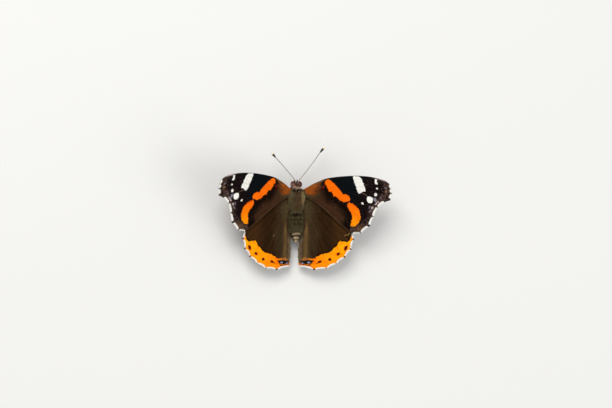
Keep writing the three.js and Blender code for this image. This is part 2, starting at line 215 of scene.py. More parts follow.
def make_piece(name, heap, material, stands_for=(), smooth=False):
    """One Blender object from a heap, riding on the body"""
    points = (np.vstack(heap.points) + BODY) * MM
    triangles = np.vstack(heap.triangles)
    mesh = bpy.data.meshes.new(name)
    mesh.vertices.add(len(points))
    mesh.vertices.foreach_set("co", points.astype(np.float32).ravel())
    mesh.loops.add(triangles.size)
    mesh.loops.foreach_set("vertex_index", triangles.astype(np.int32).ravel())
    mesh.polygons.add(len(triangles))
    mesh.polygons.foreach_set("loop_start", np.arange(0, triangles.size, 3, dtype=np.int32))
    mesh.polygons.foreach_set("use_smooth", np.full(len(triangles), smooth))
    colour = np.ones((len(points), 4), np.float32)
    colour[:, :3] = np.clip(np.vstack(heap.colours), DARKEST, 1)
    mesh.color_attributes.new("Pigment", "FLOAT_COLOR", "POINT").data.foreach_set("color", colour.ravel())
    if heap.places:
        places = np.vstack(heap.places)[triangles.ravel()]
        mesh.uv_layers.new(name="OFBake").data.foreach_set("uv", places.astype(np.float32).ravel())
    mesh.update(calc_edges=True)
    mesh.materials.append(material)
    piece = bpy.data.objects.new(name, mesh)
    bpy.context.scene.collection.objects.link(piece)
    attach(piece, "root")
    if stands_for:
        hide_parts(*stands_for)


# Materials
COAT_ROUGHNESS = 0.12
MOTTLE_FINENESS = 2500
MOTTLE_DETAIL = 3
MOTTLE_STRENGTH = {"From Min": 0.3, "From Max": 0.7, "To Min": 0.85, "To Max": 1.15}
GLOSS_VARY = 0.08


def node_material(name, roughness, specular, coat=0.0):
    """Material whose colour is the mesh's pigment, with a faint mottle"""
    material = bpy.data.materials.new(name)
    material.use_nodes = True
    nodes, links = material.node_tree.nodes, material.node_tree.links
    shader = nodes["Principled BSDF"]
    kinds = ("Attribute", "TexCoord", "TexNoise", "MapRange", "VectorMath", "MapRange")
    colour, place, mottle, strength, tone, gloss = (nodes.new("ShaderNode" + kind) for kind in kinds)
    colour.attribute_name = "Pigment"
    tone.operation = "SCALE"
    for node, values in (
        (shader, {"Specular IOR Level": specular, "Coat Weight": coat, "Coat Roughness": COAT_ROUGHNESS}),
        (mottle, {"Scale": MOTTLE_FINENESS, "Detail": MOTTLE_DETAIL}),
        (strength, MOTTLE_STRENGTH),
        (gloss, {"To Min": roughness - GLOSS_VARY, "To Max": roughness + GLOSS_VARY}),
    ):
        for socket, value in values.items():
            node.inputs[socket].default_value = value
    for giver, output, taker, socket in (
        (place, "Object", mottle, "Vector"),
        (mottle, "Fac", strength, "Value"),
        (colour, "Color", tone, 0),
        (strength, "Result", tone, "Scale"),
        (tone, "Vector", shader, "Base Color"),
        (mottle, "Fac", gloss, "Value"),
        (gloss, "Result", shader, "Roughness"),
    ):
        links.new(giver.outputs[output], taker.inputs[socket])
    return material


SCALE_COAT = node_material("wing_scales", 0.65, 0.04)
MEMBRANE = node_material("wing_membrane", 0.6, 0.1)
SKIN = node_material("body_skin", 0.6, 0.2)
FUR = node_material("fur", 0.8, 0.06)
EYE_GLOSS = node_material("eye", 0.4, 0.3, coat=0.15)
HORN = node_material("horn", 0.45, 0.4)

# Wings, each in its own plane: u outward from the hinge, v towards the tail
def forewing_camber(u, v):
    """Height of the vaulted forewing over its plane"""
    return -0.0016 * (u - 12) ** 2 - 0.0028 * (v - 2) ** 2 * np.minimum(1, u / 20)


def hindwing_camber(u, v):
    """Height of the vaulted hindwing over its plane, with the fold that hangs beside the abdomen"""
    fold = 0.05 * np.maximum(0, 2.5 - u) ** 2 * np.minimum(1, np.maximum(0, v - 1) / 5)
    return -0.0015 * (u - 8) ** 2 - 0.0012 * (v - 11) ** 2 - fold


WINGS = {
    "forewing": {
        "hinge": [2.4, -2.9, 1.5],
        "dihedral": 22.5,
        "pitch": 12.5,
        "sweep": {"left": -1.6, "right": 1.6},
        "costa": [(-1.2, -0.3), (0.5, -1.3), (3.5, -3.1), (7.3, -4.8), (11.5, -5.6), (16.9, -6.1),
                  (21.5, -6.0), (25.3, -5.4), (28.0, -4.5), (29.6, -3.2), (30.1, -2.2), (30.2, 0.0)],
        "tips": [(29.6, 2.2), (25.4, 4.8), (24.0, 8.05), (22.6, 11.35), (19.5, 13.95), (16.3, 14.25)],
        "hollows": [0.0, 0.45, 0.2, 0.15, 0.15, 0.05],
        "inner": [(16.3, 14.25), (15.4, 13.5), (14.0, 12.3), (12.3, 11.0), (9.8, 8.6), (8.4, 7.35),
                  (6.5, 5.65), (3.9, 3.6), (0.9, 2.0), (-1.2, 1.4)],
        "veins": [
            [(-0.6, 0.1), (6.5, -1.6), (12.6, -2.3)],
            [(-0.6, 0.1), (5.5, 0.9), (11.2, 3.0)],
            [(0.6, -0.5), (8.5, -3.9), (16.3, -5.9)],
            [(9.3, -2.1), (14.5, -4.0), (20.8, -5.9)],
            [(12.0, -2.3), (18.0, -3.7), (24.6, -5.3)],
            [(12.6, -2.3), (20.5, -2.9), (28.1, -4.3)],
            [(22.0, -3.1), (26.2, -2.8), (30.0, -2.4)],
            [(19.5, -2.8), (25.0, -1.4), (30.1, 0.0)],
            [(12.8, -1.9), (21.5, -0.7), (29.6, 2.2)],
            [(13.3, -0.1), (19.8, 1.6), (25.4, 4.8)],
            [(12.6, 1.9), (18.5, 4.4), (24.0, 8.05)],
            [(11.2, 3.0), (17.2, 6.6), (22.6, 11.35)],
            [(6.8, 1.3), (13.3, 6.6), (19.5, 13.95)],
            [(-0.3, 0.9), (8.6, 5.6), (17.7, 13.95)],
            [(12.6, -2.3), (13.6, -0.2), (11.2, 3.0)],
        ],
        "camber": forewing_camber,
        "root": (-1.5, 0.4),
        "fringe_from": 29.3,
        "white_fringe": [
            ((29.6, -3.4), (30.2, -2.0)), ((30.2, -1.7), (30.1, -0.6)), ((30.0, -0.1), (29.7, 1.4)),
            ((27.6, 3.0), (25.6, 4.5)), ((25.3, 5.1), (24.1, 7.7)), ((24.0, 8.4), (22.7, 10.9)),
            ((22.1, 11.85), (19.7, 13.7)),
        ],
        "thin_white": [((19.1, 14.0), (16.7, 14.2))],
    },
    "hindwing": {
        "hinge": [2.4, 0.2, 0.1],
        "dihedral": 14,
        "pitch": 4,
        "sweep": {"left": -0.5, "right": 0.5},
        "costa": [(-1.0, -0.7), (0.8, -1.5), (4.0, -2.3), (9.0, -1.3), (13.6, 1.9), (16.1, 5.0)],
        "tips": [(16.7, 8.0), (17.5, 13.0), (16.6, 16.5), (14.5, 19.2), (11.6, 21.5), (8.2, 23.2),
                 (4.05, 23.65), (-1.3, 22.5)],
        "hollows": [0.0, 0.1, 0.3, 0.3, 0.3, 0.3, 0.3, 0.25],
        "inner": [(-1.3, 22.5), (-1.6, 19.0), (-1.6, 15.6), (-1.4, 13.4), (-1.15, 11.5), (-0.75, 9.4),
                  (-0.5, 5.5), (-0.4, 2.6), (-1.0, 1.3)],
        "veins": [
            [(-0.4, -0.4), (8.2, 0.0), (16.6, 8.0)],
            [(2.2, -0.1), (10.6, 4.2), (17.4, 13.0)],
            [(-0.4, 0.1), (3.4, 1.6), (6.0, 5.6)],
            [(6.0, 5.6), (12.2, 9.8), (16.6, 16.5)],
            [(6.0, 5.6), (10.2, 12.2), (14.5, 19.2)],
            [(5.0, 10.2), (8.9, 15.6), (11.6, 21.5)],
            [(5.0, 10.2), (6.8, 16.6), (8.2, 23.2)],
            [(-0.4, 0.3), (3.3, 3.6), (5.0, 10.2)],
            [(3.7, 5.6), (4.1, 14.8), (4.05, 23.65)],
            [(-0.4, 0.6), (2.0, 9.5), (-0.4, 22.6)],
        ],
        "camber": hindwing_camber,
        "root": (-0.6, -0.4),
        "fringe_from": 15.5,
        "white_fringe": [
            ((17.0, 10.2), (17.4, 12.4)), ((17.4, 13.6), (16.7, 15.9)), ((16.3, 17.0), (14.9, 18.7)),
            ((14.2, 19.6), (11.9, 21.4)), ((11.3, 21.9), (8.5, 23.1)), ((7.8, 23.1), (4.7, 23.7)),
            ((3.3, 23.5), (-1.2, 22.6)),
        ],
        "thin_white": [],
    },
}
HALF_MEMBRANE = 0.06
VEIN_RIDGE = 0.07
VEIN_REACH = 0.13
PLEAT = 0.16
PLEAT_REACH = 0.9
FLAT_RIM = 1.2
UNWRAP_RIM = 0.5
VEIN_STEP = 0.5
MARGIN_STEP = 0.25
MESH_STEP = 0.24
FRINGE_INSET = 0.3


def wing_outline(wing):
    """Costa, outer margin with its hollows, and inner margin, each a line of points"""
    costa = smooth_line(wing["costa"], MARGIN_STEP)
    outer = []
    corner = costa[-1]
    for tip, depth in zip(wing["tips"], wing["hollows"]):
        chord = np.array(tip) - corner
        inward = np.array([-chord[1], chord[0]]) / np.linalg.norm(chord)
        count = max(1, round(np.linalg.norm(chord) / MARGIN_STEP))
        t = np.arange(1, count + 1)[:, None] / count
        outer.append(corner + chord * t + inward * depth * np.sin(math.pi * t))
        corner = np.array(tip)
    return costa, np.vstack(outer), smooth_line(wing["inner"], MARGIN_STEP)[1:]


def margin_stretches(wing, stretches):
    """Numbers of the margin's points at which each stretch starts and ends"""
    found = []
    for ends in stretches:
        found.append([int(np.linalg.norm(wing["margin"] - end, axis=1).argmin()) for end in ends])
    return found


def outward_normals(line):
    """Unit vectors off a line that runs round its area with the outside on its left"""
    along = np.gradient(line, axis=0)
    return unit(np.column_stack([along[:, 1], -along[:, 0]]))


def wing_height(wing, uv, face):
    """Height of the upper (1) or under (-1) face with its pleats and vein ridges"""
    gap = wing["vein_lines"].gap(uv)
    pleat = PLEAT * bump(gap, 0, PLEAT_REACH) - PLEAT / 3
    ridge = HALF_MEMBRANE + VEIN_RIDGE * bump(gap, 0, VEIN_REACH)
    edge = np.minimum(1, wing["edge_lines"].gap(uv) / FLAT_RIM)
    return wing["camber"](uv[:, 0], uv[:, 1]) + pleat * edge + face * ridge


def wing_unwrap(wing, uv):
    return (uv - wing["low"]) / wing["size"]


def on_body(wing, side):
    """Function that places points (u, v, height) of a wing on the body"""
    turn = (
        Matrix.Rotation(math.radians(-wing["dihedral"]), 3, "Y")
        @ Matrix.Rotation(math.radians(-wing["pitch"]), 3, "X")
        @ Matrix.Rotation(math.radians(wing["sweep"][side]), 3, "Z")
    )
    return lambda points: (points @ np.array(turn).T + wing["hinge"]) * [1 if side == "left" else -1, 1, 1]


RIM_CLEARANCE = 0.45
MERGE_GAP = 1e-5


def filled(outline, spacing):
    """Delaunay triangles over an area: its outline and an even fill"""
    (low_u, low_v), (high_u, high_v) = outline.min(0), outline.max(0)
    row_spacing = spacing * math.sqrt(0.75)
    u, v = np.meshgrid(np.arange(low_u, high_u, spacing), np.arange(low_v, high_v, row_spacing))
    u[1::2] += spacing / 2
    grid = np.column_stack([u.ravel(), v.ravel()])
    grid = grid[depth_in(grid, outline) > RIM_CLEARANCE * spacing]
    count = len(outline)
    edges = [(i, (i + 1) % count) for i in range(count)]
    everything = [Vector(p) for p in np.vstack([outline, grid])]
    found, _, faces, *_ = delaunay_2d_cdt(everything, edges, [], 0, MERGE_GAP)
    points = np.array([tuple(p) for p in found])
    triangles = np.array([f for f in faces if len(f) == 3])
    return points, triangles[inside(points[triangles].mean(1), outline)]


for wing in WINGS.values():
    costa, outer, inner = wing_outline(wing)
    wing["loop"] = np.vstack([costa, outer, inner, costa[:1]])
    wing["low"] = wing["loop"].min(0) - UNWRAP_RIM
    wing["size"] = np.ptp(wing["loop"], axis=0).max() + 2 * UNWRAP_RIM
    wing["margin"] = np.vstack([costa[costa[:, 0] > wing["fringe_from"]], outer])
    wing["margin_lines"] = Lines(wing["margin"])
    wing["edge_lines"] = Lines(wing["loop"])
    wing["vein_lines"] = Lines(*[smooth_line(line, VEIN_STEP) for line in [wing["costa"], *wing["veins"]]])
    wing["inner_lines"] = Lines(inner)
    wing["white"] = margin_stretches(wing, wing["white_fringe"])
    wing["white_lines"] = Lines(*[wing["margin"][first + 1 : last] for first, last in wing["white"]])
    wing["white_ends"] = Lines(*[wing["margin"][[index]] for stretch in wing["white"] for index in stretch])
    edge = outer - outward_normals(outer) * FRINGE_INSET
    wing["points"], wing["triangles"] = filled(np.vstack([costa, edge, inner]), MESH_STEP)


# Markings, in wing places
def covers(uv, chance, depth, amount=0.15):
    """Whether a mark of this depth covers each scale; its edge runs raggedly from scale to scale"""
    return depth + amount * (field(uv, 0.6, 11) + 0.5 * chance.normal(0, 1, len(uv))) > 0


def mosaic(colours, uv, chance, depth):
    """Differences from scale to scale and from patch to patch"""
    depth = np.broadcast_to(depth, len(uv))[:, None]
    tone = 1 + depth * (chance.normal(0, 1, (len(uv), 1)) + 0.6 * field(uv, 0.9, 21)[:, None])
    tint = 1 + 0.35 * depth * chance.normal(0, 1, colours.shape)
    return colours * np.clip(tone, 0.4, 1.9) * tint


def paint(colours, covered, colour, uv, chance, depth=0.06):
    """Colours with one more pigment on the scales that a mark covers"""
    fresh = mosaic(np.broadcast_to(colour, colours.shape), uv, chance, depth)
    return np.where(covered[:, None], fresh, colours)


def mark_depth(uv, areas=(), ovals=()):
    """Depth into whichever of some areas and ovals lies deepest"""
    depths = [depth_in(uv, area) for area in areas] + [oval_depth(uv, *oval) for oval in ovals]
    return np.max(depths, axis=0)


def mark(colours, depth, colour, uv, chance, ragged=0.15, vary=0.06):
    """Colours with a mark where it has depth; its edge is ragged and its pigment varies"""
    return paint(colours, covers(uv, chance, depth, ragged), colour, uv, chance, vary)


def mark_ovals(colours, ovals, colour, uv, chance, ragged, vary):
    """Colours with oval marks of one pigment, one after another"""
    for oval in ovals:
        colours = mark(colours, oval_depth(uv, *oval), colour, uv, chance, ragged, vary)
    return colours


BAND_TOP = [(8.0, -4.65), (9.1, -4.45), (9.7, -3.8), (10.55, -2.9), (11.3, -2.2), (12.2, -1.2), (12.95, -0.3),
            (13.25, 0.4), (14.3, 0.35), (15.3, 1.0), (15.8, 1.8), (15.65, 2.65), (15.15, 2.9), (14.3, 3.0),
            (13.3, 3.05), (12.4, 2.45), (11.7, 1.9), (11.05, 1.2), (10.1, 1.1), (9.8, 0.2), (9.3, -0.55),
            (8.5, -0.45), (8.2, -1.4), (7.7, -2.35), (7.15, -3.2), (7.3, -4.1)]
BAND_LOW = [(15.6, 3.15), (16.8, 3.55), (17.6, 4.3), (18.55, 5.25), (19.05, 6.2), (19.3, 7.3), (19.45, 8.5),
            (19.1, 9.6), (18.4, 10.6), (17.4, 11.5), (16.5, 11.7), (15.85, 11.5), (16.0, 10.5), (16.35, 9.3),
            (16.65, 8.0), (16.05, 6.8), (15.35, 5.6), (14.9, 4.5), (14.85, 3.6)]
BAND_INNER = [(7.0, -6.0), (7.1, -3.6), (8.2, -1.4), (9.3, -0.3), (10.1, 1.1), (11.7, 1.9), (13.3, 3.1),
              (14.7, 4.0), (15.3, 5.6), (16.5, 7.8), (16.2, 9.3), (15.7, 10.6), (15.8, 14.8)]
BASAL_AREA = BAND_INNER + [(-4, 20), (-4, -8)]
RUST_AREA = [(-1.3, -1.2), (0.5, -2.0), (3.5, -3.8), (7.2, -5.3), (6.6, -3.6), (5.5, -1.2), (4.5, 0.2),
             (3.0, 1.0), (1.0, 0.7), (-1.3, 0.3)]
RED_PATCH = ((6.6, -1.7), (1.0, 0.42), -62)
BAR = [(16.95, -5.95), (18.6, -6.0), (19.6, -5.35), (20.05, -4.4), (20.5, -3.1), (20.9, -2.0), (21.1, -0.9),
       (20.2, -0.7), (19.55, -0.15), (18.85, 0.2), (18.4, -0.7), (17.95, -2.1), (17.45, -3.5), (17.15, -4.5),
       (16.8, -5.35)]
COSTAL_STREAK = [(24.5, -5.15), (24.95, -5.05), (24.95, -4.3), (25.3, -3.55), (25.15, -3.2), (24.7, -3.3),
                 (24.3, -4.0), (24.35, -4.85)]
SQUARE = [(21.9, 0.95), (22.6, 1.0), (23.55, 1.3), (23.65, 2.1), (23.35, 3.05), (22.8, 3.3), (21.9, 3.0),
          (21.55, 2.5), (21.65, 1.5)]
WHITE_SPOTS = [((25.1, -1.85), (0.28, 0.3)), ((24.6, 0.25), (0.46, 0.48)), ((20.05, 3.5), (0.46, 0.36))]

RUST = pigment(164, 86, 28)
RUST_DIM = pigment(96, 54, 30)
DARK_RED = pigment(92, 24, 13)
BASAL_BROWN = pigment(62, 38, 22)
NEAR_BLACK = pigment(19, 7, 1)
# Black with a painted sheen on it: bluish, and violet further out
BLACK_BLUE_SHEEN = pigment(8, 12, 15)
BLACK_VIOLET_SHEEN = pigment(19, 9, 10)
MARGIN_BROWN = pigment(100, 76, 66)
COSTA_PALE = pigment(132, 100, 80)
OCHRE = pigment(104, 70, 42)
RED_ORANGE = pigment(255, 112, 2)
ORANGE = pigment(255, 146, 2)
WHITE = pigment(240, 237, 228)
LILAC = pigment(138, 126, 134)
BLUE_GREY = pigment(152, 150, 162)
PALE_PINK = pigment(226, 204, 196)
TAN = pigment(140, 106, 76)
SPECK = pigment(112, 90, 74)
EDGE_BROWN = pigment(92, 68, 46)

# Broken pale marks near the apex: centre, half sizes, turn and colour
SMUDGES = [((24.5, 2.2), (0.85, 0.46), 65, BLUE_GREY), ((25.4, 2.7), (0.4, 0.28), 40, PALE_PINK),
           ((24.8, 3.45), (0.6, 0.3), -50, PALE_PINK), ((23.4, 5.0), (0.55, 0.3), -55, PALE_PINK),
           ((22.8, 6.05), (0.65, 0.26), -60, LILAC), ((22.45, 4.65), (0.45, 0.24), -60, LILAC),
           ((26.3, 1.4), (0.34, 0.28), 30, LILAC), ((28.1, -2.2), (0.34, 0.24), 80, LILAC),
           ((28.1, -0.8), (0.46, 0.3), 80, TAN), ((20.7, 0.25), (0.75, 0.12), 25, SPECK)]


def forewing_upper(uv, chance):
    u, v = uv.T
    wave = field(uv, 1.6, 31)
    from_band = Lines(BAND_INNER).gap(uv)
    from_edge = WINGS["forewing"]["edge_lines"].gap(uv)
    near = mix(BASAL_BROWN, NEAR_BLACK, 1 - rise(from_band + 0.8 * wave, 1.1, 4.3))
    rusty = rise(depth_in(uv, RUST_AREA) + 0.4 * field(uv, (1.8, 0.4), 32), -0.5, 0.9)
    near = mix(near, mix(RUST, RUST_DIM, rise(u, 3.0, 6.2)), rusty * (0.8 + 0.3 * field(uv, (1.2, 0.25), 35)))
    near = mix(near, COSTA_PALE, 0.7 * (1 - rise(from_edge, 0.25, 0.7)) * bump(u, 5.6, 1.7) * (v < -2))
    by_costa = (1 - rise(from_edge, 0.3, 1.2)) * (v < -2)
    by_band = 1 - rise(from_band + 0.5 * field(uv, (0.4, 1.2), 37), 0.4, 2.2)
    near = mix(near, NEAR_BLACK, by_band * (1 - by_costa))
    near = mark_ovals(near, [RED_PATCH], DARK_RED, uv, chance, 0.2, 0.3)
    # outer ground: black with a painted sheen, bluish by the band and violet further out
    far = mix(BLACK_BLUE_SHEEN, BLACK_VIOLET_SHEEN, rise(u + 0.35 * v, 16, 21))
    from_margin = WINGS["forewing"]["margin_lines"].gap(uv)
    brownish = 1 - rise(from_margin + 0.8 * wave, 0.8, 3.8)
    far = mix(far, MARGIN_BROWN, brownish * (0.38 + 0.6 * field(uv, 0.4, 33)))
    from_tornus = np.linalg.norm(uv - (19.2, 12.8), axis=1)
    far = mix(far, OCHRE, (1 - rise(from_tornus, 0.8, 2.8)) * (0.5 + 0.5 * field(uv, 0.45, 34)))
    basal = covers(uv, chance, depth_in(uv, BASAL_AREA))
    colours = np.where(basal[:, None], near, far)
    by_tornus = 0.1 * (1 - rise(from_tornus, 1.5, 3.5))
    speckled = chance.random(len(uv)) < np.where(basal, 0.003, 0.03 * rise(u, 20, 25) + by_tornus)
    colours = np.where(speckled[:, None], SPECK, colours)
    colours = mosaic(colours, uv, chance, np.where(basal, 0.2, 0.2 + 0.15 * rise(u, 15, 19)))
    orange = mix(RED_ORANGE, ORANGE, rise(v + 0.9 * wave + 0.6 * field(uv, 0.8, 36), 4, 11.5))
    band_depth = mark_depth(uv, (BAND_TOP, BAND_LOW))
    colours = mark(colours, band_depth, orange, uv, chance, 0.13, 0.05)
    for centre, size, turn, colour in SMUDGES:
        smudge = covers(uv, chance, oval_depth(uv, centre, size, turn), 0.16)
        broken = chance.uniform(0.3, 1, len(uv))
        colours = np.where(smudge[:, None], mix(colours, colour, broken), colours)
    white_depth = mark_depth(uv, (BAR, COSTAL_STREAK, SQUARE), WHITE_SPOTS)
    colours = mark(colours, white_depth, WHITE, uv, chance, 0.1, 0.03)
    inner_edge = 1 - rise(WINGS["forewing"]["inner_lines"].gap(uv), 0.15, 0.5)
    tip_edge = bump(u, 26.2, 1.6) * (1 - rise(from_edge, 0.1, 0.5)) * (v < -4)
    colours = mix(mix(colours, EDGE_BROWN, 0.55 * inner_edge), PALE_PINK, 0.6 * tip_edge)
    return white_margin(colours, uv, chance, "forewing")


WHITE_DEPTH = {"forewing": 0.74, "hindwing": 0.52}


def white_margin(colours, uv, chance, name):
    """Colours with the white crescents that the fringe goes on from"""
    wing = WINGS[name]
    taper = 0.45 * (1 - rise(wing["white_ends"].gap(uv), 0.1, 0.9))
    depth = WHITE_DEPTH[name] - taper - wing["white_lines"].gap(uv)
    return mark(colours, depth, WHITE, uv, chance, 0.05, 0.03)


HIND_BAND = [(17.8, 10.7), (16.9, 11.3), (16.3, 12.4), (15.8, 13.5), (15.2, 14.05), (14.3, 13.9),
             (13.3, 13.7), (12.65, 13.6), (12.1, 14.45), (11.4, 15.45), (10.5, 16.2), (9.9, 17.2),
             (8.5, 17.65), (7.2, 18.0), (6.05, 18.45), (5.0, 18.85), (4.4, 19.4), (3.3, 19.8),
             (1.9, 19.5), (0.65, 19.5), (-0.45, 19.95), (-2.3, 20.2), (-2.6, 26.0), (20.0, 26.0),
             (22.0, 11.5)]
HIND_DOTS = [((14.7, 16.0), (0.92, 0.5), -62), ((12.15, 18.05), (0.62, 0.48), -45),
             ((9.25, 19.95), (0.52, 0.45), -30), ((5.8, 20.8), (0.72, 0.4), -18),
             ((5.0, 21.2), (0.55, 0.2), -30)]
ANAL_OVAL = ((1.4, 20.9), (2.35, 0.74), -3)
ANAL_PUPILS = [((2.0, 21.0), (0.56, 0.28), 0), ((0.0, 21.25), (0.42, 0.24), 10)]
ANAL_LENSES = [((0.6, 21.9), (0.55, 0.16), 5), ((2.1, 21.95), (0.6, 0.17), -5)]
LEFT_SCAR = ((5.7, 11.8), (0.32, 0.22), 40)
RIGHT_WEAR = ((15.3, 11.6), (1.7, 0.9), -60)
RIGHT_FLECKS = [((14.9, 12.6), (0.2, 0.16), 20), ((15.6, 11.2), (0.45, 0.13), -60),
                ((14.4, 11.7), (0.3, 0.12), -40)]

DISC_DARK = pigment(43, 25, 7)
DISC_BROWN = pigment(59, 44, 25)
DISC_OUTER = pigment(62, 37, 13)
STRIPE_TAN = pigment(128, 97, 56)
FOLD_GREY = pigment(104, 86, 68)
HIND_ORANGE = pigment(255, 142, 2)
HIND_YELLOW = pigment(255, 164, 2)
DOT_MAROON = pigment(74, 10, 6)
ANAL_ORANGE = pigment(206, 106, 12)
EYE_BLUE = pigment(136, 139, 162)
LENS_BROWN = pigment(150, 64, 8)
SCAR_PINK = pigment(110, 78, 62)
FLECK_YELLOW = pigment(168, 136, 72)


def hindwing_upper(uv, chance):
    u, v = uv.T
    polar = np.column_stack([np.arctan2(u + 0.6, v + 0.4) * 12, np.hypot(u, v)])
    streaks = field(polar, (0.35, 5.0), 41) + 0.6 * field(polar, (0.9, 8.0), 42)
    colours = mix(DISC_BROWN, DISC_DARK, rise(u + 1.2 * field(uv, 2.0, 43), 2.0, 7.0))
    colours = mix(colours, DISC_OUTER, rise(u + 0.6 * field(uv, 1.5, 50), 9, 12.5))
    colours = colours * (1 + 0.2 * streaks)[:, None]
    stripe = bump(u, 0.95, 0.8) * rise(v, 3, 10)
    colours = mix(colours, STRIPE_TAN, 0.6 * stripe * (1 + 0.35 * streaks))
    colours = mix(colours, FOLD_GREY, 0.7 * (1 - rise(u, -1.2, 0.0)) * rise(v, 7, 11))
    band_depth = depth_in(uv, HIND_BAND)
    before_band = rise(band_depth + 0.2 * field(uv, 0.8, 46), -0.9, -0.2)
    colours = mix(colours, NEAR_BLACK, 0.85 * before_band * rise(u, 3, 6))
    colours = mosaic(colours, uv, chance, 0.14)
    orange = mix(HIND_ORANGE, HIND_YELLOW, rise(u + 1.5 * field(uv, 1.6, 51), 5, 13))
    orange = mix(orange, RED_ORANGE, 0.4 * rise(field(uv, 1.3, 45) + 0.5 * field(uv, 0.5, 47), 0.1, 0.9))
    orange = mix(orange, RED_ORANGE, bump(u, 3.9, 0.6) * (1 - rise(v, 21, 22.5)))
    orange = mix(orange, ANAL_ORANGE, 1 - rise(u, 1.5, 4.0))
    by_fold = 1 - rise(u, 1.2, 3.0)
    band_rim = 1 - rise(band_depth + 0.3 * field(uv, 0.4, 49), 0.1, 1.1)
    orange = mix(orange, STRIPE_TAN, 0.8 * by_fold * band_rim)
    colours = mark(colours, band_depth, orange, uv, chance, 0.15 + 0.3 * by_fold, 0.05)
    dots = mark_depth(uv, ovals=HIND_DOTS)
    colours = mix(colours, RED_ORANGE, 0.7 * rise(dots, -0.3, 0))
    colours = mark(colours, dots, DOT_MAROON, uv, chance, 0.08, 0.2)
    # the eyespot's oval: black with a painted bluish sheen
    colours = mark_ovals(colours, [ANAL_OVAL], BLACK_BLUE_SHEEN, uv, chance, 0.12, 0.2)
    colours = mark_ovals(colours, ANAL_PUPILS, EYE_BLUE, uv, chance, 0.06, 0.12)
    colours = mark_ovals(colours, ANAL_LENSES, LENS_BROWN, uv, chance, 0.06, 0.2)
    return white_margin(colours, uv, chance, "hindwing")


def own_marks(name, side, uv, colours, chance):
    """Colours with the few marks that only one side has"""
    if name == "forewing":
        return colours
    if side == "left":
        return mark_ovals(colours, [LEFT_SCAR], SCAR_PINK, uv, chance, 0.15, 0.2)
    worn = rise(oval_depth(uv, *RIGHT_WEAR) + 0.3 * field(uv, 0.4, 48), 0, 0.4)
    colours = mix(colours, NEAR_BLACK, 0.6 * worn * (uv[:, 0] < 16))
    return mark_ovals(colours, RIGHT_FLECKS, FLECK_YELLOW, uv, chance, 0.12, 0.3)


UNDER_BROWN = pigment(92, 72, 52)
UNDER_DARK = pigment(38, 28, 22)
UNDER_PALE = pigment(160, 142, 112)
ROSE = pigment(222, 96, 70)
UNDER_BLUE = pigment(112, 140, 178)
CELL_BARS = [[(1, -1.2), (6.6, -3.6)], [(3, -0.2), (6.0, -0.6)], [(11.2, -3.9), (12.8, -2.6)]]
CELL_BAR_WIDTH = 0.22
HIND_EYESPOTS = [((13.4, 15.2), 0.85), ((11.2, 17.4), 0.8), ((8.6, 19.2), 0.8), ((5.6, 20.3), 0.85)]
COSTAL_PATCH = ((10.2, 1.2), (1.2, 0.7), 30)


def marbled(uv):
    """Dark and pale marbling"""
    waves = field(uv, 1.5, 51) + 0.7 * field(uv, 0.7, 52) + 0.4 * field(uv, 0.35, 53)
    colours = mix(UNDER_BROWN, UNDER_DARK, rise(waves, -0.1, 0.5))
    return mix(colours, UNDER_PALE, rise(-waves, 0.45, 1.0))


def forewing_under(uv, chance):
    u, v = uv.T
    colours = mix(UNDER_DARK, marbled(uv), rise(u - 0.4 * v, 19, 23))
    colours = mix(colours, UNDER_BROWN, rise(v, 6, 10) * (1 - rise(u, 17, 20)))
    colours = mosaic(colours, uv, chance, 0.15)
    rosy = mix(ROSE, ORANGE, 0.3 * rise(v, 0, 8))
    colours = mark(colours, mark_depth(uv, (BAND_TOP, BAND_LOW)), rosy, uv, chance)
    colours = paint(colours, Lines(*CELL_BARS).gap(uv) < CELL_BAR_WIDTH, UNDER_BLUE, uv, chance)
    white_depth = mark_depth(uv, (BAR, COSTAL_STREAK), WHITE_SPOTS)
    return mark(colours, white_depth, WHITE, uv, chance, vary=0.04)


def hindwing_under(uv, chance):
    colours = marbled(uv)
    from_margin = WINGS["hindwing"]["margin_lines"].gap(uv)
    colours = mix(colours, UNDER_PALE, 0.5 * bump(from_margin, 1.4, 0.3))
    colours = mix(colours, UNDER_BLUE, 0.4 * bump(from_margin, 1.9, 0.2))
    for centre, radius in HIND_EYESPOTS:
        away = np.linalg.norm(uv - centre, axis=1)
        colours = mix(colours, UNDER_DARK, 1 - rise(away, radius * 0.7, radius))
        colours = mix(colours, UNDER_BLUE, 0.8 * (1 - rise(away, 0.15, 0.35)))
    patch = covers(uv, chance, oval_depth(uv, *COSTAL_PATCH), 0.2)
    return mosaic(np.where(patch[:, None], UNDER_PALE * 1.3, colours), uv, chance, 0.15)


FACES = {
    "forewing": {1: forewing_upper, -1: forewing_under},
    "hindwing": {1: hindwing_upper, -1: hindwing_under},
}

# A scale lies on the face with its narrow root under the row before it: along, across and height
SCALE_SHAPE = np.array([(-0.6, 0, -0.3), (0.4, -0.5, 1), (0.4, 0.5, 1), (0.15, 0, 1.15), (0.15, 0, 0)])
SCALE_SIDES = np.array([(0, 1, 3), (1, 2, 3), (2, 0, 3), (1, 0, 4), (2, 1, 4), (0, 2, 4)])
SCALE_TIP = 0.4
SCALE_LENGTH = 0.34
SCALE_WIDTH = 0.2
SCALE_LIFT = 0.035
ROW_STEP = 0.15
COLUMN_STEP = 0.14
SLOPE_STEP = 0.02
PATCH = 0.003


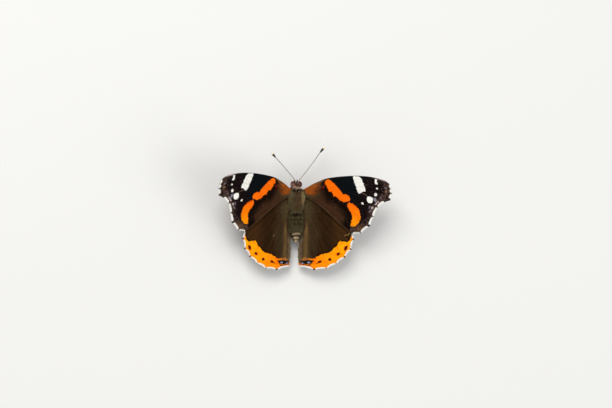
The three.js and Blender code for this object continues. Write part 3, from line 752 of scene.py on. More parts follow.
def lay_scales(heap, wing, face, uv, along, length, width, lift, colours):
    """Scales on one face of a wing: each at a place, pointing one way, with its own size and colour"""
    base = wing_height(wing, uv, face)
    slope_u = (wing_height(wing, uv + (SLOPE_STEP, 0), face) - base) / SLOPE_STEP
    slope_v = (wing_height(wing, uv + (0, SLOPE_STEP), face) - base) / SLOPE_STEP
    normal = unit(np.column_stack([-slope_u, -slope_v, np.ones(len(uv))])) * face
    across = np.column_stack([-along[:, 1], along[:, 0]])
    length, width, lift = (size[:, None, None] for size in (length, width, lift))
    offset = along[:, None] * (SCALE_SHAPE[:, :1] * length) + across[:, None] * (SCALE_SHAPE[:, 1:2] * width)
    height = base[:, None] + offset[:, :, 0] * slope_u[:, None] + offset[:, :, 1] * slope_v[:, None]
    points = np.dstack([uv[:, None] + offset, height])
    points = points + normal[:, None] * (SCALE_SHAPE[:, 2:] * lift)
    sides = SCALE_SIDES if face == 1 else SCALE_SIDES[:, ::-1]
    corners = len(SCALE_SHAPE)
    triangles = (np.arange(len(uv))[:, None, None] * corners + sides).reshape(-1, 3)
    places = wing_unwrap(wing, uv)[:, None] + PATCH * SCALE_SHAPE[:, :2]
    heap.add(points.reshape(-1, 3), triangles, np.repeat(colours, corners, axis=0), places.reshape(-1, 2))


COVER_GAP = 0.12
FRINGE_BARE = 0.4
UNDER_SPREAD = 1.14
FIRST_ROW = 0.4
SCALE_STRAY = 0.035
SCALE_TURN = 0.09


def scale_places(wing, chance, spread):
    """Places of the cover scales in rows round the wing's root, and the way each points"""
    root = np.array(wing["root"])
    reach = np.linalg.norm(wing["loop"] - root, axis=1).max()
    rows = []
    for row, radius in enumerate(np.arange(FIRST_ROW, reach, ROW_STEP * spread)):
        count = max(1, int(2 * math.pi * radius / COLUMN_STEP / spread))
        angle = (np.arange(count) + 0.5 * (row % 2)) * 2 * math.pi / count
        rows.append(root + radius * np.column_stack([np.cos(angle), np.sin(angle)]))
    uv = np.vstack(rows)
    uv = uv[inside(uv, wing["loop"])]
    uv = uv[(wing["edge_lines"].gap(uv) > COVER_GAP) & (wing["margin_lines"].gap(uv) > FRINGE_BARE)]
    uv = uv + chance.uniform(-SCALE_STRAY, SCALE_STRAY, uv.shape)
    angle = np.arctan2(*(uv - root).T[::-1]) + chance.normal(0, SCALE_TURN, len(uv))
    return uv, np.column_stack([np.cos(angle), np.sin(angle)])


FRINGE_DARK = {"forewing": pigment(50, 34, 30), "hindwing": pigment(84, 38, 18)}
FRINGE_COPIES = 16
FRINGE_TIERS = ((0.03, 0.62), (-0.16, 0.55))
FRINGE_WIDTHS = (0.08, 0.12)
FRINGE_LIFTS = (0.02, 0.05)


def lay_fringe(heap, name, wing, chance):
    """Two tiers of narrow scales along the outer margin, white between the vein tips"""
    margin = wing["margin"]
    white = np.zeros(len(margin), bool)
    for first, last in wing["white"] + margin_stretches(wing, wing["thin_white"]):
        white[first : last + 1] = True
    normals = outward_normals(margin)
    index = np.repeat(np.arange(len(margin)), FRINGE_COPIES)
    tier = np.tile(np.arange(FRINGE_COPIES) // 2 % 2, len(margin))
    past, length = np.array(FRINGE_TIERS)[tier].T
    length = length * chance.uniform(0.9, 1.1, len(index))
    along = unit(normals[index] + chance.normal(0, 0.08, (len(index), 2)))
    tangent = np.column_stack([-normals[index][:, 1], normals[index][:, 0]])
    sideways = tangent * (chance.uniform(-0.5, 0.5, len(index)) * MARGIN_STEP)[:, None]
    past = past + chance.normal(0, 0.025, len(index)) - SCALE_TIP * length
    uv = margin[index] + sideways + along * past[:, None]
    shade = chance.uniform(0.85, 1.04, (len(index), 1))
    colours = np.where(white[index][:, None], WHITE, FRINGE_DARK[name]) * shade
    width = chance.uniform(*FRINGE_WIDTHS, len(index))
    lift = chance.uniform(*FRINGE_LIFTS, len(index))
    for face in (1, -1):
        some = np.arange(len(index)) % 2 == (face == 1)
        chosen = [values[some] for values in (uv, along, length, width, lift, colours)]
        lay_scales(heap, wing, face, *chosen)


def membrane(name, wing, side, chance):
    """The thin sheet of a wing with a rim round it"""
    uv, triangles = wing["points"], wing["triangles"]
    count = len(uv)
    edges = np.vstack([triangles[:, [0, 1]], triangles[:, [1, 2]], triangles[:, [2, 0]]])
    keys = {tuple(edge) for edge in edges.tolist()}
    rim = np.array([edge for edge in keys if edge[::-1] not in keys])
    walls = np.vstack([
        np.column_stack([rim[:, 0], rim[:, 0] + count, rim[:, 1] + count]),
        np.column_stack([rim[:, 0], rim[:, 1] + count, rim[:, 1]]),
    ])
    solid = np.vstack([triangles, triangles[:, ::-1] + count, walls])
    points = np.vstack([np.column_stack([uv, wing_height(wing, uv, face)]) for face in (1, -1)])
    upper, under = (FACES[name][face](uv, chance) for face in (1, -1))
    sheet = Heap()
    sheet.add(points, solid, np.vstack([own_marks(name, side, uv, upper, chance), under]))
    return sheet


def wing_piece(name, side, label, heap, material, stands_for=(), smooth=False):
    """One piece of a wing from a heap with points (u, v, height)"""
    heap = heap.moved(on_body(WINGS[name], side), side == "right")
    make_piece(f"{name}_{side}_{label}", heap, material, stands_for, smooth)


def make_wings(name):
    """Membrane, cover scales of both faces and fringe of a pair of wings"""
    wing = WINGS[name]
    for side in SIDES:
        sheet = membrane(name, wing, side, np.random.default_rng(6))
        wing_piece(name, side, "membrane", sheet, MEMBRANE, [f"{name}_{side}"], smooth=True)
    chance = np.random.default_rng(7 if name == "forewing" else 8)
    for face, label, spread in ((1, "upper", 1), (-1, "under", UNDER_SPREAD)):
        uv, along = scale_places(wing, chance, spread)
        length, width, lift = (
            size * spread * chance.uniform(1 - vary, 1 + vary, len(uv))
            for size, vary in ((SCALE_LENGTH, 0.15), (SCALE_WIDTH, 0.15), (SCALE_LIFT, 0.4))
        )
        colours = FACES[name][face](uv, chance)
        for side in SIDES:
            heap = Heap()
            shades = own_marks(name, side, uv, colours, chance) if face == 1 else colours
            lay_scales(heap, wing, face, uv, along, length, width, lift, shades)
            wing_piece(name, side, label + "_scales", heap, SCALE_COAT)
    for side in SIDES:
        heap = Heap()
        lay_fringe(heap, name, wing, chance)
        wing_piece(name, side, "fringe", heap, SCALE_COAT)


for name in WINGS:
    make_wings(name)

# Body: one skin from head to tail, given by y, half width, half height and height of the middle
TRUNK = [
    (-6.38, 0.12, 0.12, -0.45), (-6.25, 0.5, 0.55, -0.42), (-5.95, 0.85, 0.95, -0.36),
    (-5.4, 1.02, 1.18, -0.3), (-4.8, 0.95, 1.1, -0.28), (-4.4, 0.72, 0.8, -0.25),
    (-4.15, 0.62, 0.68, -0.18), (-3.9, 0.85, 0.9, -0.13), (-3.5, 1.5, 1.42, -0.08),
    (-2.6, 2.15, 1.95, 0), (-1.1, 2.45, 2.32, 0.05), (0.7, 2.45, 2.32, 0),
    (2.3, 2.15, 2.02, -0.05), (3.3, 1.75, 1.72, -0.1), (3.8, 1.6, 1.6, -0.12),
    (4.3, 1.78, 1.8, -0.14), (5.0, 2.02, 2.06, -0.2), (7.6, 2.17, 2.2, -0.4),
    (10.2, 1.97, 1.97, -0.7), (12.3, 1.38, 1.38, -1.0), (13.6, 0.72, 0.72, -1.2),
    (14.1, 0.34, 0.34, -1.27), (14.16, 0.1, 0.1, -1.28),
]
TRUNK_LINE = smooth_line(TRUNK, 0.05)
RING_BORDERS = np.array([5.6, 7.0, 8.4, 9.7, 10.9, 12.0, 13.0, 13.8])
RING_GROOVE = 0.07
RING_REACH = 0.12
TRUNK_SIDES = 48
TRUNK_STEP = 0.08
VOXEL = 0.11
SOFTENING = 3


def trunk_at(y):
    """Half width, half height and middle height of the trunk at each y"""
    width, height, middle = (np.interp(y, TRUNK_LINE[:, 0], TRUNK_LINE[:, k]) for k in (1, 2, 3))
    groove = RING_GROOVE * bump(y[:, None], RING_BORDERS, RING_REACH).sum(1)
    return width - groove, height - groove, middle


def trunk_point(y, angle):
    """Point on the trunk; angle 0 is the top and a quarter turn is the animal's left"""
    width, height, middle = trunk_at(y)
    return np.column_stack([width * np.sin(angle), y, middle + height * np.cos(angle)])


def trunk_frame(y, angle):
    """Points on the trunk, the ways backward and round it, and the way out of it"""
    step = 0.05
    back = unit(trunk_point(y + step, angle) - trunk_point(y - step, angle))
    round_way = unit(trunk_point(y, angle + step) - trunk_point(y, angle - step))
    return trunk_point(y, angle), back, round_way, np.cross(round_way, back)


BAKE_RIM = 0.02
BAKE_LENGTH = 0.96
BAKE_HALF_ROUND = 0.3


def trunk_unwrap(y, angle):
    along = (y - TRUNK[0][0]) / (TRUNK[-1][0] - TRUNK[0][0])
    return BAKE_RIM + np.column_stack([BAKE_LENGTH * along, BAKE_HALF_ROUND * (angle / math.pi + 1)])


END_CAP = 0.6
SHAFT_SIDES = 12
LIMB_SIDES = 10
COIL_SIDES = 8
CLAW_SIDES = 6


def tube(line, radii, sides):
    """Points and triangles of a round tube with closed ends, and the ring that each point is in"""
    line = np.asarray(line, float)
    count = len(line)
    radii = np.broadcast_to(radii, count)
    along = unit(np.gradient(line, axis=0))
    side = np.cross(along[0], (0.0, 0.0, 1.0) if abs(along[0][2]) < 0.9 else (1.0, 0.0, 0.0))
    angles = np.arange(sides)[:, None] * 2 * math.pi / sides
    rings = []
    for point, way, radius in zip(line, along, radii):
        side = side - way * side.dot(way)
        side /= np.linalg.norm(side)
        rings.append(point + radius * (np.cos(angles) * side + np.sin(angles) * np.cross(way, side)))
    poles = [line[:1] - along[0] * radii[0] * END_CAP, line[-1:] + along[-1] * radii[-1] * END_CAP]
    k = np.arange(sides)
    ahead = (k + 1) % sides
    triangles = []
    for ring in range(count - 1):
        a, b = ring * sides + k, ring * sides + ahead
        triangles += [np.column_stack([a, b, b + sides]), np.column_stack([a, b + sides, a + sides])]
    end = (count - 1) * sides
    triangles.append(np.column_stack([np.full(sides, count * sides), ahead, k]))
    triangles.append(np.column_stack([np.full(sides, count * sides + 1), end + k, end + ahead]))
    ring_of = np.concatenate([np.repeat(np.arange(count), sides), [0, count - 1]])
    return np.vstack(rings + poles), np.vstack(triangles), ring_of


def ball(centre, size, detail=3):
    """Points and triangles of an ellipsoid"""
    work = bmesh.new()
    bmesh.ops.create_icosphere(work, subdivisions=detail, radius=1)
    points = np.array([v.co[:] for v in work.verts])
    triangles = np.array([[v.index for v in f.verts] for f in work.faces])
    work.free()
    return points * size + centre, triangles


POLE_REACH = 0.03


def trunk_shape():
    """Points and triangles of the trunk without its swellings"""
    y = np.arange(TRUNK[0][0], TRUNK[-1][0], TRUNK_STEP)
    middle = trunk_at(y)[2]
    points, triangles, ring = tube(np.column_stack([0 * y, y, middle]), 1, TRUNK_SIDES)
    angle = np.arctan2(points[:, 0], points[:, 2] - middle[ring])
    points[:-2] = trunk_point(y[ring], angle)[:-2]
    points[-2:] = [(0, y[0] - POLE_REACH, middle[0]), (0, y[-1] + POLE_REACH, middle[-1])]
    return points, triangles


PALP = [(0.42, -5.7, -1.0), (0.5, -6.25, -1.0), (0.49, -6.8, -0.75), (0.46, -7.25, -0.25)]
PALP_LINE = smooth_line(PALP, 0.08)
PALP_RADII = np.interp(np.linspace(0, 1, len(PALP_LINE)), (0, 0.5, 0.9, 1), (0.24, 0.24, 0.16, 0.08))
# Swellings on the trunk: tegulae, collar and hips of both sides, and the shield at the back of the thorax
SWELLINGS = [((1.85, -2.35, 1.2), (0.7, 1.0, 0.5)), ((0.5, -3.7, 0.8), (0.5, 0.3, 0.35)),
             ((1.15, -0.9, -1.9), (0.6, 0.75, 0.6)), ((1.1, 1.5, -1.85), (0.6, 0.75, 0.6))]
SHIELD = ((0, 3.0, 1.35), (0.95, 0.65, 0.55))


def fused(heap):
    """One closed surface round the closed shapes of a heap"""
    mesh = bpy.data.meshes.new("fusing")
    mesh.from_pydata(np.vstack(heap.points).tolist(), [], np.vstack(heap.triangles).tolist())
    thing = bpy.data.objects.new("fusing", mesh)
    bpy.context.scene.collection.objects.link(thing)
    remesh = thing.modifiers.new("remesh", "REMESH")
    remesh.mode = "VOXEL"
    remesh.voxel_size = VOXEL
    soften = thing.modifiers.new("soften", "SMOOTH")
    soften.iterations = SOFTENING
    result = bpy.data.meshes.new_from_object(thing.evaluated_get(bpy.context.evaluated_depsgraph_get()))
    result.calc_loop_triangles()
    points = np.empty(len(result.vertices) * 3)
    result.vertices.foreach_get("co", points)
    triangles = np.empty(len(result.loop_triangles) * 3, np.int32)
    result.loop_triangles.foreach_get("vertices", triangles)
    bpy.data.objects.remove(thing)
    bpy.data.meshes.remove(mesh)
    bpy.data.meshes.remove(result)
    return points.reshape(-1, 3), triangles.reshape(-1, 3)


THORAX_TOP = pigment(88, 66, 42)
THORAX_SIDE = pigment(92, 82, 56)
THORAX_STRIPE = pigment(158, 134, 88)
THORAX_UNDER = pigment(128, 112, 92)
HEAD_BROWN = pigment(84, 56, 26)
HEAD_GREY = pigment(150, 130, 136)
CREAM = pigment(236, 200, 176)
NECK_DARK = pigment(30, 18, 12)
ABDOMEN_FRONT = pigment(50, 41, 22)
ABDOMEN_TOP = pigment(74, 66, 43)
ABDOMEN_RIM = pigment(84, 76, 52)
ABDOMEN_UNDER = pigment(140, 122, 94)
TAIL_TAN = pigment(238, 208, 164)
# Pale crescents of the last rings: middle, reach and strength
TAIL_CRESCENTS = ((11.15, 0.33, 0.6), (12.5, 0.42, 0.95), (13.7, 0.52, 1.0))
CRESCENT_BOW = 0.3
NAPE = (-4.5, -0.35)
NAPE_BOW = 0.4
WAIST_SPOT = (4.74, 0.15)
WAIST_SPOT_SIZE = (0.52, 0.62)


def body_colour(y, angle):
    """Colour of the body at a place on the trunk, on the skin and on its hair alike"""
    place = np.column_stack([y, angle * 2])
    turned = np.abs(angle)
    mottle = field(place, (0.9, 0.5), 61) + 0.6 * field(place, (1.4, 0.22), 63)
    thorax = mix(THORAX_TOP, THORAX_SIDE, rise(turned + 0.3 * mottle, 0.1, 1.1))
    thorax = thorax * (1 + 0.12 * mottle)[:, None]
    on_right = angle < 0
    stripe = bump(turned, np.where(on_right, 0.85, 0.98), np.where(on_right, 0.25, 0.17))
    stripe = stripe * rise(-y, -1.6, 0.6) * np.where(on_right, 1, 0.35)
    thorax = mix(thorax, THORAX_SIDE, 0.8 * rise(y, 2.2, 3.2))
    thorax = mix(thorax, THORAX_STRIPE, 0.9 * stripe)
    thorax = mix(thorax, THORAX_UNDER, rise(turned, 1.7, 2.3))
    to_border = np.abs(y[:, None] - RING_BORDERS).min(1)
    abdomen = mix(ABDOMEN_FRONT, ABDOMEN_TOP, rise(y, 7.2, 10))
    abdomen = mix(abdomen, ABDOMEN_RIM, 0.6 * (1 - rise(to_border, 0.1, 0.5)) + 0.4 * mottle)
    abdomen = mix(abdomen, THORAX_SIDE, 0.4 * rise(turned, 0.5, 1.4))
    abdomen = mix(abdomen, NECK_DARK, 0.7 * rise(y, 10.6, 11.2))
    worn = 1 - 0.4 * rise(-angle, 0, 0.6) + 0.25 * field(place, (0.3, 0.4), 73)
    for middle, reach, strength in TAIL_CRESCENTS:
        crescent = bump(y - CRESCENT_BOW * turned**2, middle, reach * 0.8) * (1 - rise(turned, 0.7, 1.25))
        abdomen = mix(abdomen, TAIL_TAN, strength * crescent * worn)
    abdomen = mix(abdomen, ABDOMEN_UNDER, rise(turned, 1.6, 2.2))
    colours = mix(thorax, abdomen, rise(y, 3.8, 4.4))
    in_spot = np.hypot(*((np.column_stack([y, angle]) - WAIST_SPOT) / WAIST_SPOT_SIZE).T)
    ragged = 0.3 * field(place, (0.3, 0.4), 70)
    colours = mix(colours, NECK_DARK, 0.9 * (1 - rise(in_spot + ragged, 0.5, 1.3)))
    grizzled = rise(field(place, (0.3, 0.5), 69), -0.4, 0.4)
    head = mix(HEAD_BROWN, HEAD_GREY, 0.7 * rise(-y, 5.4, 5.9) * grizzled)
    off_nape = np.abs(angle - NAPE[1])
    nape = bump(y + NAPE_BOW * off_nape**2, NAPE[0], 0.42) * (1 - rise(off_nape, 1.1, 1.4))
    head = mix(head, CREAM, nape * rise(field(place, (0.4, 0.6), 62), -1.3, -0.4))
    head = mix(head, THORAX_UNDER, rise(turned, 2.0, 2.6))
    colours = mix(head, colours, rise(y, -4.0, -3.7))
    return mix(colours, NECK_DARK, 0.85 * bump(y, -3.45, 0.4))


SKIN_SHADE = 0.75


def make_body():
    """The skin of head, thorax, abdomen and palps"""
    shapes = Heap()
    shapes.add(*trunk_shape(), 1)
    shapes.add(*ball(*SHIELD), 1)
    for side in SIDES:
        half = Heap()
        half.add(*tube(PALP_LINE, PALP_RADII, SHAFT_SIDES)[:2], 1)
        for swelling in SWELLINGS:
            half.add(*ball(*swelling), 1)
        half = half.on_side(side)
        shapes.add(half.points[0], half.triangles[0], 1)
    points, triangles = fused(shapes)
    width, height, middle = trunk_at(points[:, 1])
    angle = np.arctan2(points[:, 0] / width, (points[:, 2] - middle) / height)
    skin = Heap()
    skin.add(points, triangles, body_colour(points[:, 1], angle) * SKIN_SHADE)
    stands_for = ["head", "thorax", "abdomen", "palp_left", "palp_right"]
    make_piece("body_skin", skin, SKIN, stands_for, smooth=True)


# Hair: tufts of three sides that rise from the skin and taper to a point
TUFT_SIDES = np.array([(0, 1, 2), (0, 4, 1), (0, 3, 4), (3, 6, 4), (1, 5, 2), (1, 4, 5), (4, 6, 5),
                       (2, 3, 0), (2, 5, 3), (5, 6, 3)])
TUFT_PATCH = np.array([(-1, -1), (-1, 1), (-1, 0), (0, -1), (0, 1), (0, 0), (1, 0)]) / 2
# Tone of each corner of a tuft: painted shade at the root, painted highlight at the tip
TUFT_PAINTED_SHADING = np.array([0.6] * 3 + [1] * 3 + [1.25])
ROOT_DEPTH = 0.04
RISE_AT_MIDDLE = 0.75
RISE_AT_TIP = 0.85
WIDTH_AT_MIDDLE = 0.8


def lay_hair(heap, roots, lie, up, length, width, lift, colours, places):
    """Tufts from their roots along a lie, each with its own length, width, lift and colour"""
    side = unit(np.cross(lie, up))
    reach, lifted = lie * length[:, None], up * (length * lift)[:, None]
    middle = roots + 0.5 * reach + RISE_AT_MIDDLE * lifted
    half, crest = side * width[:, None] / 2, up * width[:, None] * 0.5
    root = roots - up * ROOT_DEPTH
    corners = [root + way for way in (-half, half, crest)]
    corners += [middle + way * WIDTH_AT_MIDDLE for way in (-half, half, crest)]
    corners.append(roots + reach + RISE_AT_TIP * lifted)
    points = np.stack(corners, axis=1).reshape(-1, 3)
    triangles = (np.arange(len(roots))[:, None, None] * len(corners) + TUFT_SIDES).reshape(-1, 3)
    # each tuft is darkened at its root and lightened at its tip: painted shade and painted highlight
    shades = (colours[:, None] * TUFT_PAINTED_SHADING[None, :, None]).reshape(-1, 3)
    heap.add(points, triangles, shades, (places[:, None] + PATCH * TUFT_PATCH[None]).reshape(-1, 2))


def varied(chance, count, *sizes):
    """Sizes that differ from hair to hair, each given with the share that it differs by"""
    return [size * chance.uniform(1 - vary, 1 + vary, count) for size, vary in sizes]


def toned(colours, tone):
    """Colours made darker and lighter by a factor each, within limits"""
    return colours * np.clip(tone, 0.5, 1.8)[:, None]


def grow(heap, chance, y, angle, length, width, lift, splay=0.0, clump=0.6, tint=None):
    """Hair from places on the trunk, lying backwards, gathered in clumps and turned outwards"""
    count = len(y)
    roots, back, round_way, up = trunk_frame(y, angle)
    around = np.column_stack([y, angle * 2])
    turn = 0.5 * field(around, clump, 64) + chance.normal(0, 0.15, count) + splay * np.sin(angle)
    lie = back * np.cos(turn)[:, None] + round_way * np.sin(turn)[:, None]
    colours = body_colour(y + chance.normal(0, 0.08, count), angle) if tint is None else tint
    tone = 1 + 0.3 * field(around, clump / 2, 65) + chance.normal(0, 0.16, count)
    lift = lift * (1 + 0.6 * field(around, clump, 66)) * chance.uniform(0.6, 1.3, count)
    length, width = varied(chance, count, (length, 0.3), (width, 0.25))
    lay_hair(heap, roots, lie, up, length, width, lift, toned(colours, tone), trunk_unwrap(y, angle))


def scattered(chance, count, low, high):
    """Places even over a stretch of the trunk: y and angle"""
    y = chance.uniform(low, high, count * 3)
    y = y[chance.random(len(y)) < trunk_at(y)[0] / TRUNK_LINE[:, 1].max()][:count]
    return y, chance.uniform(-math.pi, math.pi, len(y))


def patch(chance, count, y_range, angle_range):
    """Places even over a patch of the trunk: y and angle"""
    y = chance.uniform(*y_range, count)
    return y, chance.uniform(*angle_range, count)


FLANK = 1.4
# Coats of the trunk: number of hairs and the stretch along y that they cover
THORAX_COAT = (13000, -3.9, 3.9)
ABDOMEN_COAT = (14000, 3.7, 14.1)
HEAD_COAT = (4600, -6.35, -4.15)
# Tufts: number of hairs and their ranges of y and angle
NECK_TUFT = (1300, (-3.8, -3.15), (-1.9, 1.9))
NAPE_TUFT = (280, (-4.75, -4.45), (-1.3, 0.35))
HEAD_SIDE_TUFT = (300, (-4.75, -4.3), (0.5, 1.5))
LEFT_BROW_TUFT = (300, (-5.5, -4.95), (0.5, 1.0))
SHOULDER_HAIRS = 1000
SHOULDER_Y = (-2.5, 0.55)
# What differs between the sides: facing, paleness of the head's tuft, shoulder's angle and colour
SIDE_LOOKS = {
    "left": (1, (0, 0.6), (0.98, 0.18), THORAX_SIDE * 1.3),
    "right": (-1, (0.3, 0.9), (0.8, 0.13), THORAX_STRIPE),
}


def make_coats():
    """Hair and scales over head, thorax and abdomen"""
    chance = np.random.default_rng(71)
    thorax, abdomen, head = Heap(), Heap(), Heap()
    y, angle = scattered(chance, *THORAX_COAT)
    flank = bump(np.abs(angle), FLANK, 0.5)
    grow(thorax, chance, y, angle, 0.8, 0.06, 0.32 + 0.2 * flank, 0.3)
    y, angle = scattered(chance, *ABDOMEN_COAT)
    flank = bump(np.abs(angle), FLANK, 0.4) * (1 - rise(y, 10.5, 12.5))
    grow(abdomen, chance, y, angle, 0.42 + 0.4 * flank, 0.1 - 0.03 * flank, 0.22 + 0.4 * flank, 0.1)
    y, angle = scattered(chance, *HEAD_COAT)
    grow(head, chance, y, angle, 0.4, 0.05, 0.9, 0.1, clump=0.35)
    y, angle = patch(chance, *NECK_TUFT)
    pink = rise(field(np.column_stack([y, angle * 2]), (0.4, 0.4), 72), 0.35, 0.5)
    tint = mix(NECK_DARK, CREAM * 0.8, 0.8 * pink)
    grow(thorax, chance, y, angle, 0.65, 0.06, 0.8, 1.2, clump=0.4, tint=tint)
    y, angle = patch(chance, *NAPE_TUFT)
    tint = CREAM * chance.uniform(0.7, 1, (len(y), 1))
    grow(head, chance, y, angle, 0.55, 0.05, 0.5, 0.8, clump=0.4, tint=tint)
    for side, (facing, paleness, shoulder_angle, shoulder_pale) in SIDE_LOOKS.items():
        y, angle = patch(chance, *HEAD_SIDE_TUFT)
        tint = mix(HEAD_BROWN, CREAM, chance.uniform(*paleness, len(y)))
        grow(head, chance, y, facing * angle, 0.75, 0.05, 0.7, 2.2, clump=0.4, tint=tint)
        if side == "left":
            y, angle = patch(chance, *LEFT_BROW_TUFT)
            tint = mix(HEAD_BROWN, CREAM, chance.uniform(0.2, 1, len(y)))
            grow(head, chance, y, angle, 1.0, 0.05, 0.8, 2.4, clump=0.4, tint=tint)
        shoulder = Heap()
        y = chance.normal(*SHOULDER_Y, SHOULDER_HAIRS)
        angle = facing * chance.normal(*shoulder_angle, SHOULDER_HAIRS)
        tint = mix(THORAX_SIDE * 1.1, shoulder_pale, chance.uniform(0.2, 1, SHOULDER_HAIRS))
        grow(shoulder, chance, y, angle, 1.4, 0.07, 0.25, 0.2, tint=tint)
        make_piece(f"shoulder_{side}_hair", shoulder, FUR)
    make_piece("thorax_hair", thorax, FUR)
    make_piece("abdomen_scales", abdomen, FUR)
    make_piece("head_scales", head, FUR)


make_body()
make_coats()

FOREWING_ROOT_HAIRS = 3600
PALE_HAIRS = 900
HINDWING_ROOT_HAIRS = 3000
FOLD_HAIRS = 5200
FOLD_HAIR_END = 20.6
HAIR_OLIVE = pigment(84, 70, 44)
HAIR_BROWN = pigment(70, 50, 31)
HAIR_GREY = pigment(118, 100, 78)
HAIR_EDGE = pigment(166, 148, 122)


def hair_on_wing(heap, wing, chance, uv, lie, length, width, lift, colours, droop=0.0):
    """Long hair on a wing's upper face near the body or along its inner margin"""
    count = len(uv)
    angle = np.arctan2(lie[:, 1], lie[:, 0]) + 0.35 * field(uv, 0.7, 67) + chance.normal(0, 0.12, count)
    roots = np.column_stack([uv, wing_height(wing, uv, 1)])
    forward = unit(np.column_stack([np.cos(angle), np.sin(angle), np.full(count, -droop)]))
    up = np.tile((0.0, 0.0, 1.0), (count, 1))
    up = unit(up - forward * forward[:, 2:])
    tone = 1 + 0.25 * field(uv, 0.4, 68) + chance.normal(0, 0.15, count)
    length, width, lift = varied(chance, count, (length, 0.3), (width, 0.25), (lift, 0.5))
    lay_hair(heap, roots, forward, up, length, width, lift, toned(colours, tone), wing_unwrap(wing, uv))


def gathered(chance, wing, count, root_length, v_spread, end):
    """Places on a wing, thickest by its root and none past the end"""
    uv = np.column_stack([chance.gamma(2.0, root_length, count) - 0.6, chance.normal(*v_spread, count)])
    return uv[inside(uv, wing["loop"]) & (uv[:, 0] < end)]


def forewing_hair(chance, side):
    """Hair at the root of the forewing: rusty in front, olive behind, pale on the shoulder"""
    wing = WINGS["forewing"]
    uv = gathered(chance, wing, FOREWING_ROOT_HAIRS, 0.9, (-0.1, 0.95), 5)
    rusty = mix(RUST, RUST_DIM, rise(uv[:, 0], 2, 4.5))
    colours = mix(HAIR_OLIVE, rusty, rise(depth_in(uv, RUST_AREA), -0.5, 0.3))
    heap = Heap()
    hair_on_wing(heap, wing, chance, uv, uv - (-2.5, 0.2), 0.9, 0.06, 0.16, colours)
    uv = chance.uniform((-1.1, -0.9), (0.4, 1.6), (PALE_HAIRS, 2))
    uv = uv[inside(uv, wing["loop"])]
    pale = THORAX_SIDE * (0.9 if side == "right" else 1.2)
    colours = mix(HAIR_OLIVE, pale, chance.uniform(0, 1, len(uv)))
    lie = np.column_stack([0.1 - 0.5 * uv[:, 0], np.ones(len(uv))])
    hair_on_wing(heap, wing, chance, uv, lie, 1.0, 0.07, 0.35, colours)
    return heap


def hindwing_hair(chance, side):
    """Hair at the root of the hindwing, and along the fold beside the abdomen"""
    wing = WINGS["hindwing"]
    fold = smooth_line(wing["inner"], 0.02)
    fold = fold[fold[:, 1] < FOLD_HAIR_END]
    uv = fold[chance.integers(0, len(fold), FOLD_HAIRS)]
    inward = np.abs(chance.normal(0, 0.55, FOLD_HAIRS)) + 0.04
    uv = uv + np.column_stack([inward, chance.normal(0, 0.1, FOLD_HAIRS)])
    back = 1 - rise(uv[:, 1], 11, 15)
    lie = np.column_stack([-0.35 * back - 0.05, np.ones(len(uv))])
    colours = mix(HAIR_OLIVE, HAIR_BROWN, rise(uv[:, 0], -0.5, 0.5))
    colours = mix(colours, HAIR_GREY, 0.8 * rise(uv[:, 1], 9, 14))
    colours = mix(colours, HAIR_EDGE, (wing["inner_lines"].gap(uv) < 0.16) * rise(uv[:, 1], 11, 14))
    heap = Heap()
    hair_on_wing(heap, wing, chance, uv, lie, 0.7 + 0.5 * back, 0.07, 0.1, colours, droop=0.04)
    uv = gathered(chance, wing, HINDWING_ROOT_HAIRS, 1.1, (2.2, 1.6), 5.5)
    olive = mix(HAIR_OLIVE, HAIR_BROWN, rise(uv[:, 0], 1, 4))
    hair_on_wing(heap, wing, chance, uv, uv - (-2.0, -3.0), 1.0, 0.06, 0.12, olive)
    return heap


for name, wing_hair in (("forewing", forewing_hair), ("hindwing", hindwing_hair)):
    for side in SIDES:
        wing_piece(name, side, "hair", wing_hair(np.random.default_rng(83), side), FUR)

# Eyes, faceted
EYE_CENTRE = (1.05, -5.55, -0.25)
EYE_SIZE = (1.0, 1.1, 1.2)
FACET_HEIGHT = 0.018
FACET_REACH = 0.04
EYE_BROWN = pigment(98, 30, 18)
EYE_DARK = pigment(46, 12, 8)


def make_eye(side):
    """Eye with a domed facet at each point of the coarser of two balls"""
    coarse = ball((0, 0, 0), 1, 5)[0]
    fine, triangles = ball((0, 0, 0), 1, 6)
    tree = KDTree(len(coarse))
    for index, point in enumerate(coarse):
        tree.insert(point, index)
    tree.balance()
    gap = np.array([tree.find(point)[2] for point in fine])
    domed = 1 + FACET_HEIGHT * (1 - rise(gap, 0, FACET_REACH))
    eye = Heap()
    eye.add(fine * domed[:, None] * EYE_SIZE + EYE_CENTRE, triangles,
            mix(EYE_DARK, EYE_BROWN, 0.5 + 0.5 * field(fine[:, 1:], 0.5, 91)))
    make_piece(f"eye_{side}_facets", eye.on_side(side), EYE_GLOSS, [f"eye_{side}"], smooth=True)


# Feelers: ringed shafts that end in a club with a cream tip
ANTENNA = {
    "left": [(0.34, -5.6, 0.35), (0.38, -5.9, 0.6), (0.8, -7.0, 1.2), (3.3, -9.9, 1.6), (6.0, -12.8, 2.1),
             (8.2, -15.0, 2.5), (9.35, -16.4, 2.6)],
    "right": [(0.34, -5.6, 0.35), (0.38, -5.9, 0.6), (0.8, -7.0, 1.2), (3.4, -10.3, 1.6), (5.8, -13.6, 2.1),
              (7.6, -16.2, 2.45), (9.3, -18.3, 2.6)],
}
ANTENNA_STEP = 0.045
SHAFT_RADIUS = 0.12
CLUB_RADIUS = 0.37
CLUB_START, CLUB_FULL, CLUB_ROUNDING = 0.83, 0.92, 0.96
TIP_START, TIP_FULL = 0.945, 0.965
JOINT_LENGTH = 0.36
JOINT_SWELL = 0.1
PALE_SHARE = 0.45
SHAFT_DARK = pigment(70, 56, 44)
SHAFT_PALE = pigment(186, 172, 146)
CLUB_BLACK = pigment(16, 11, 9)
CLUB_TIP = pigment(236, 220, 178)


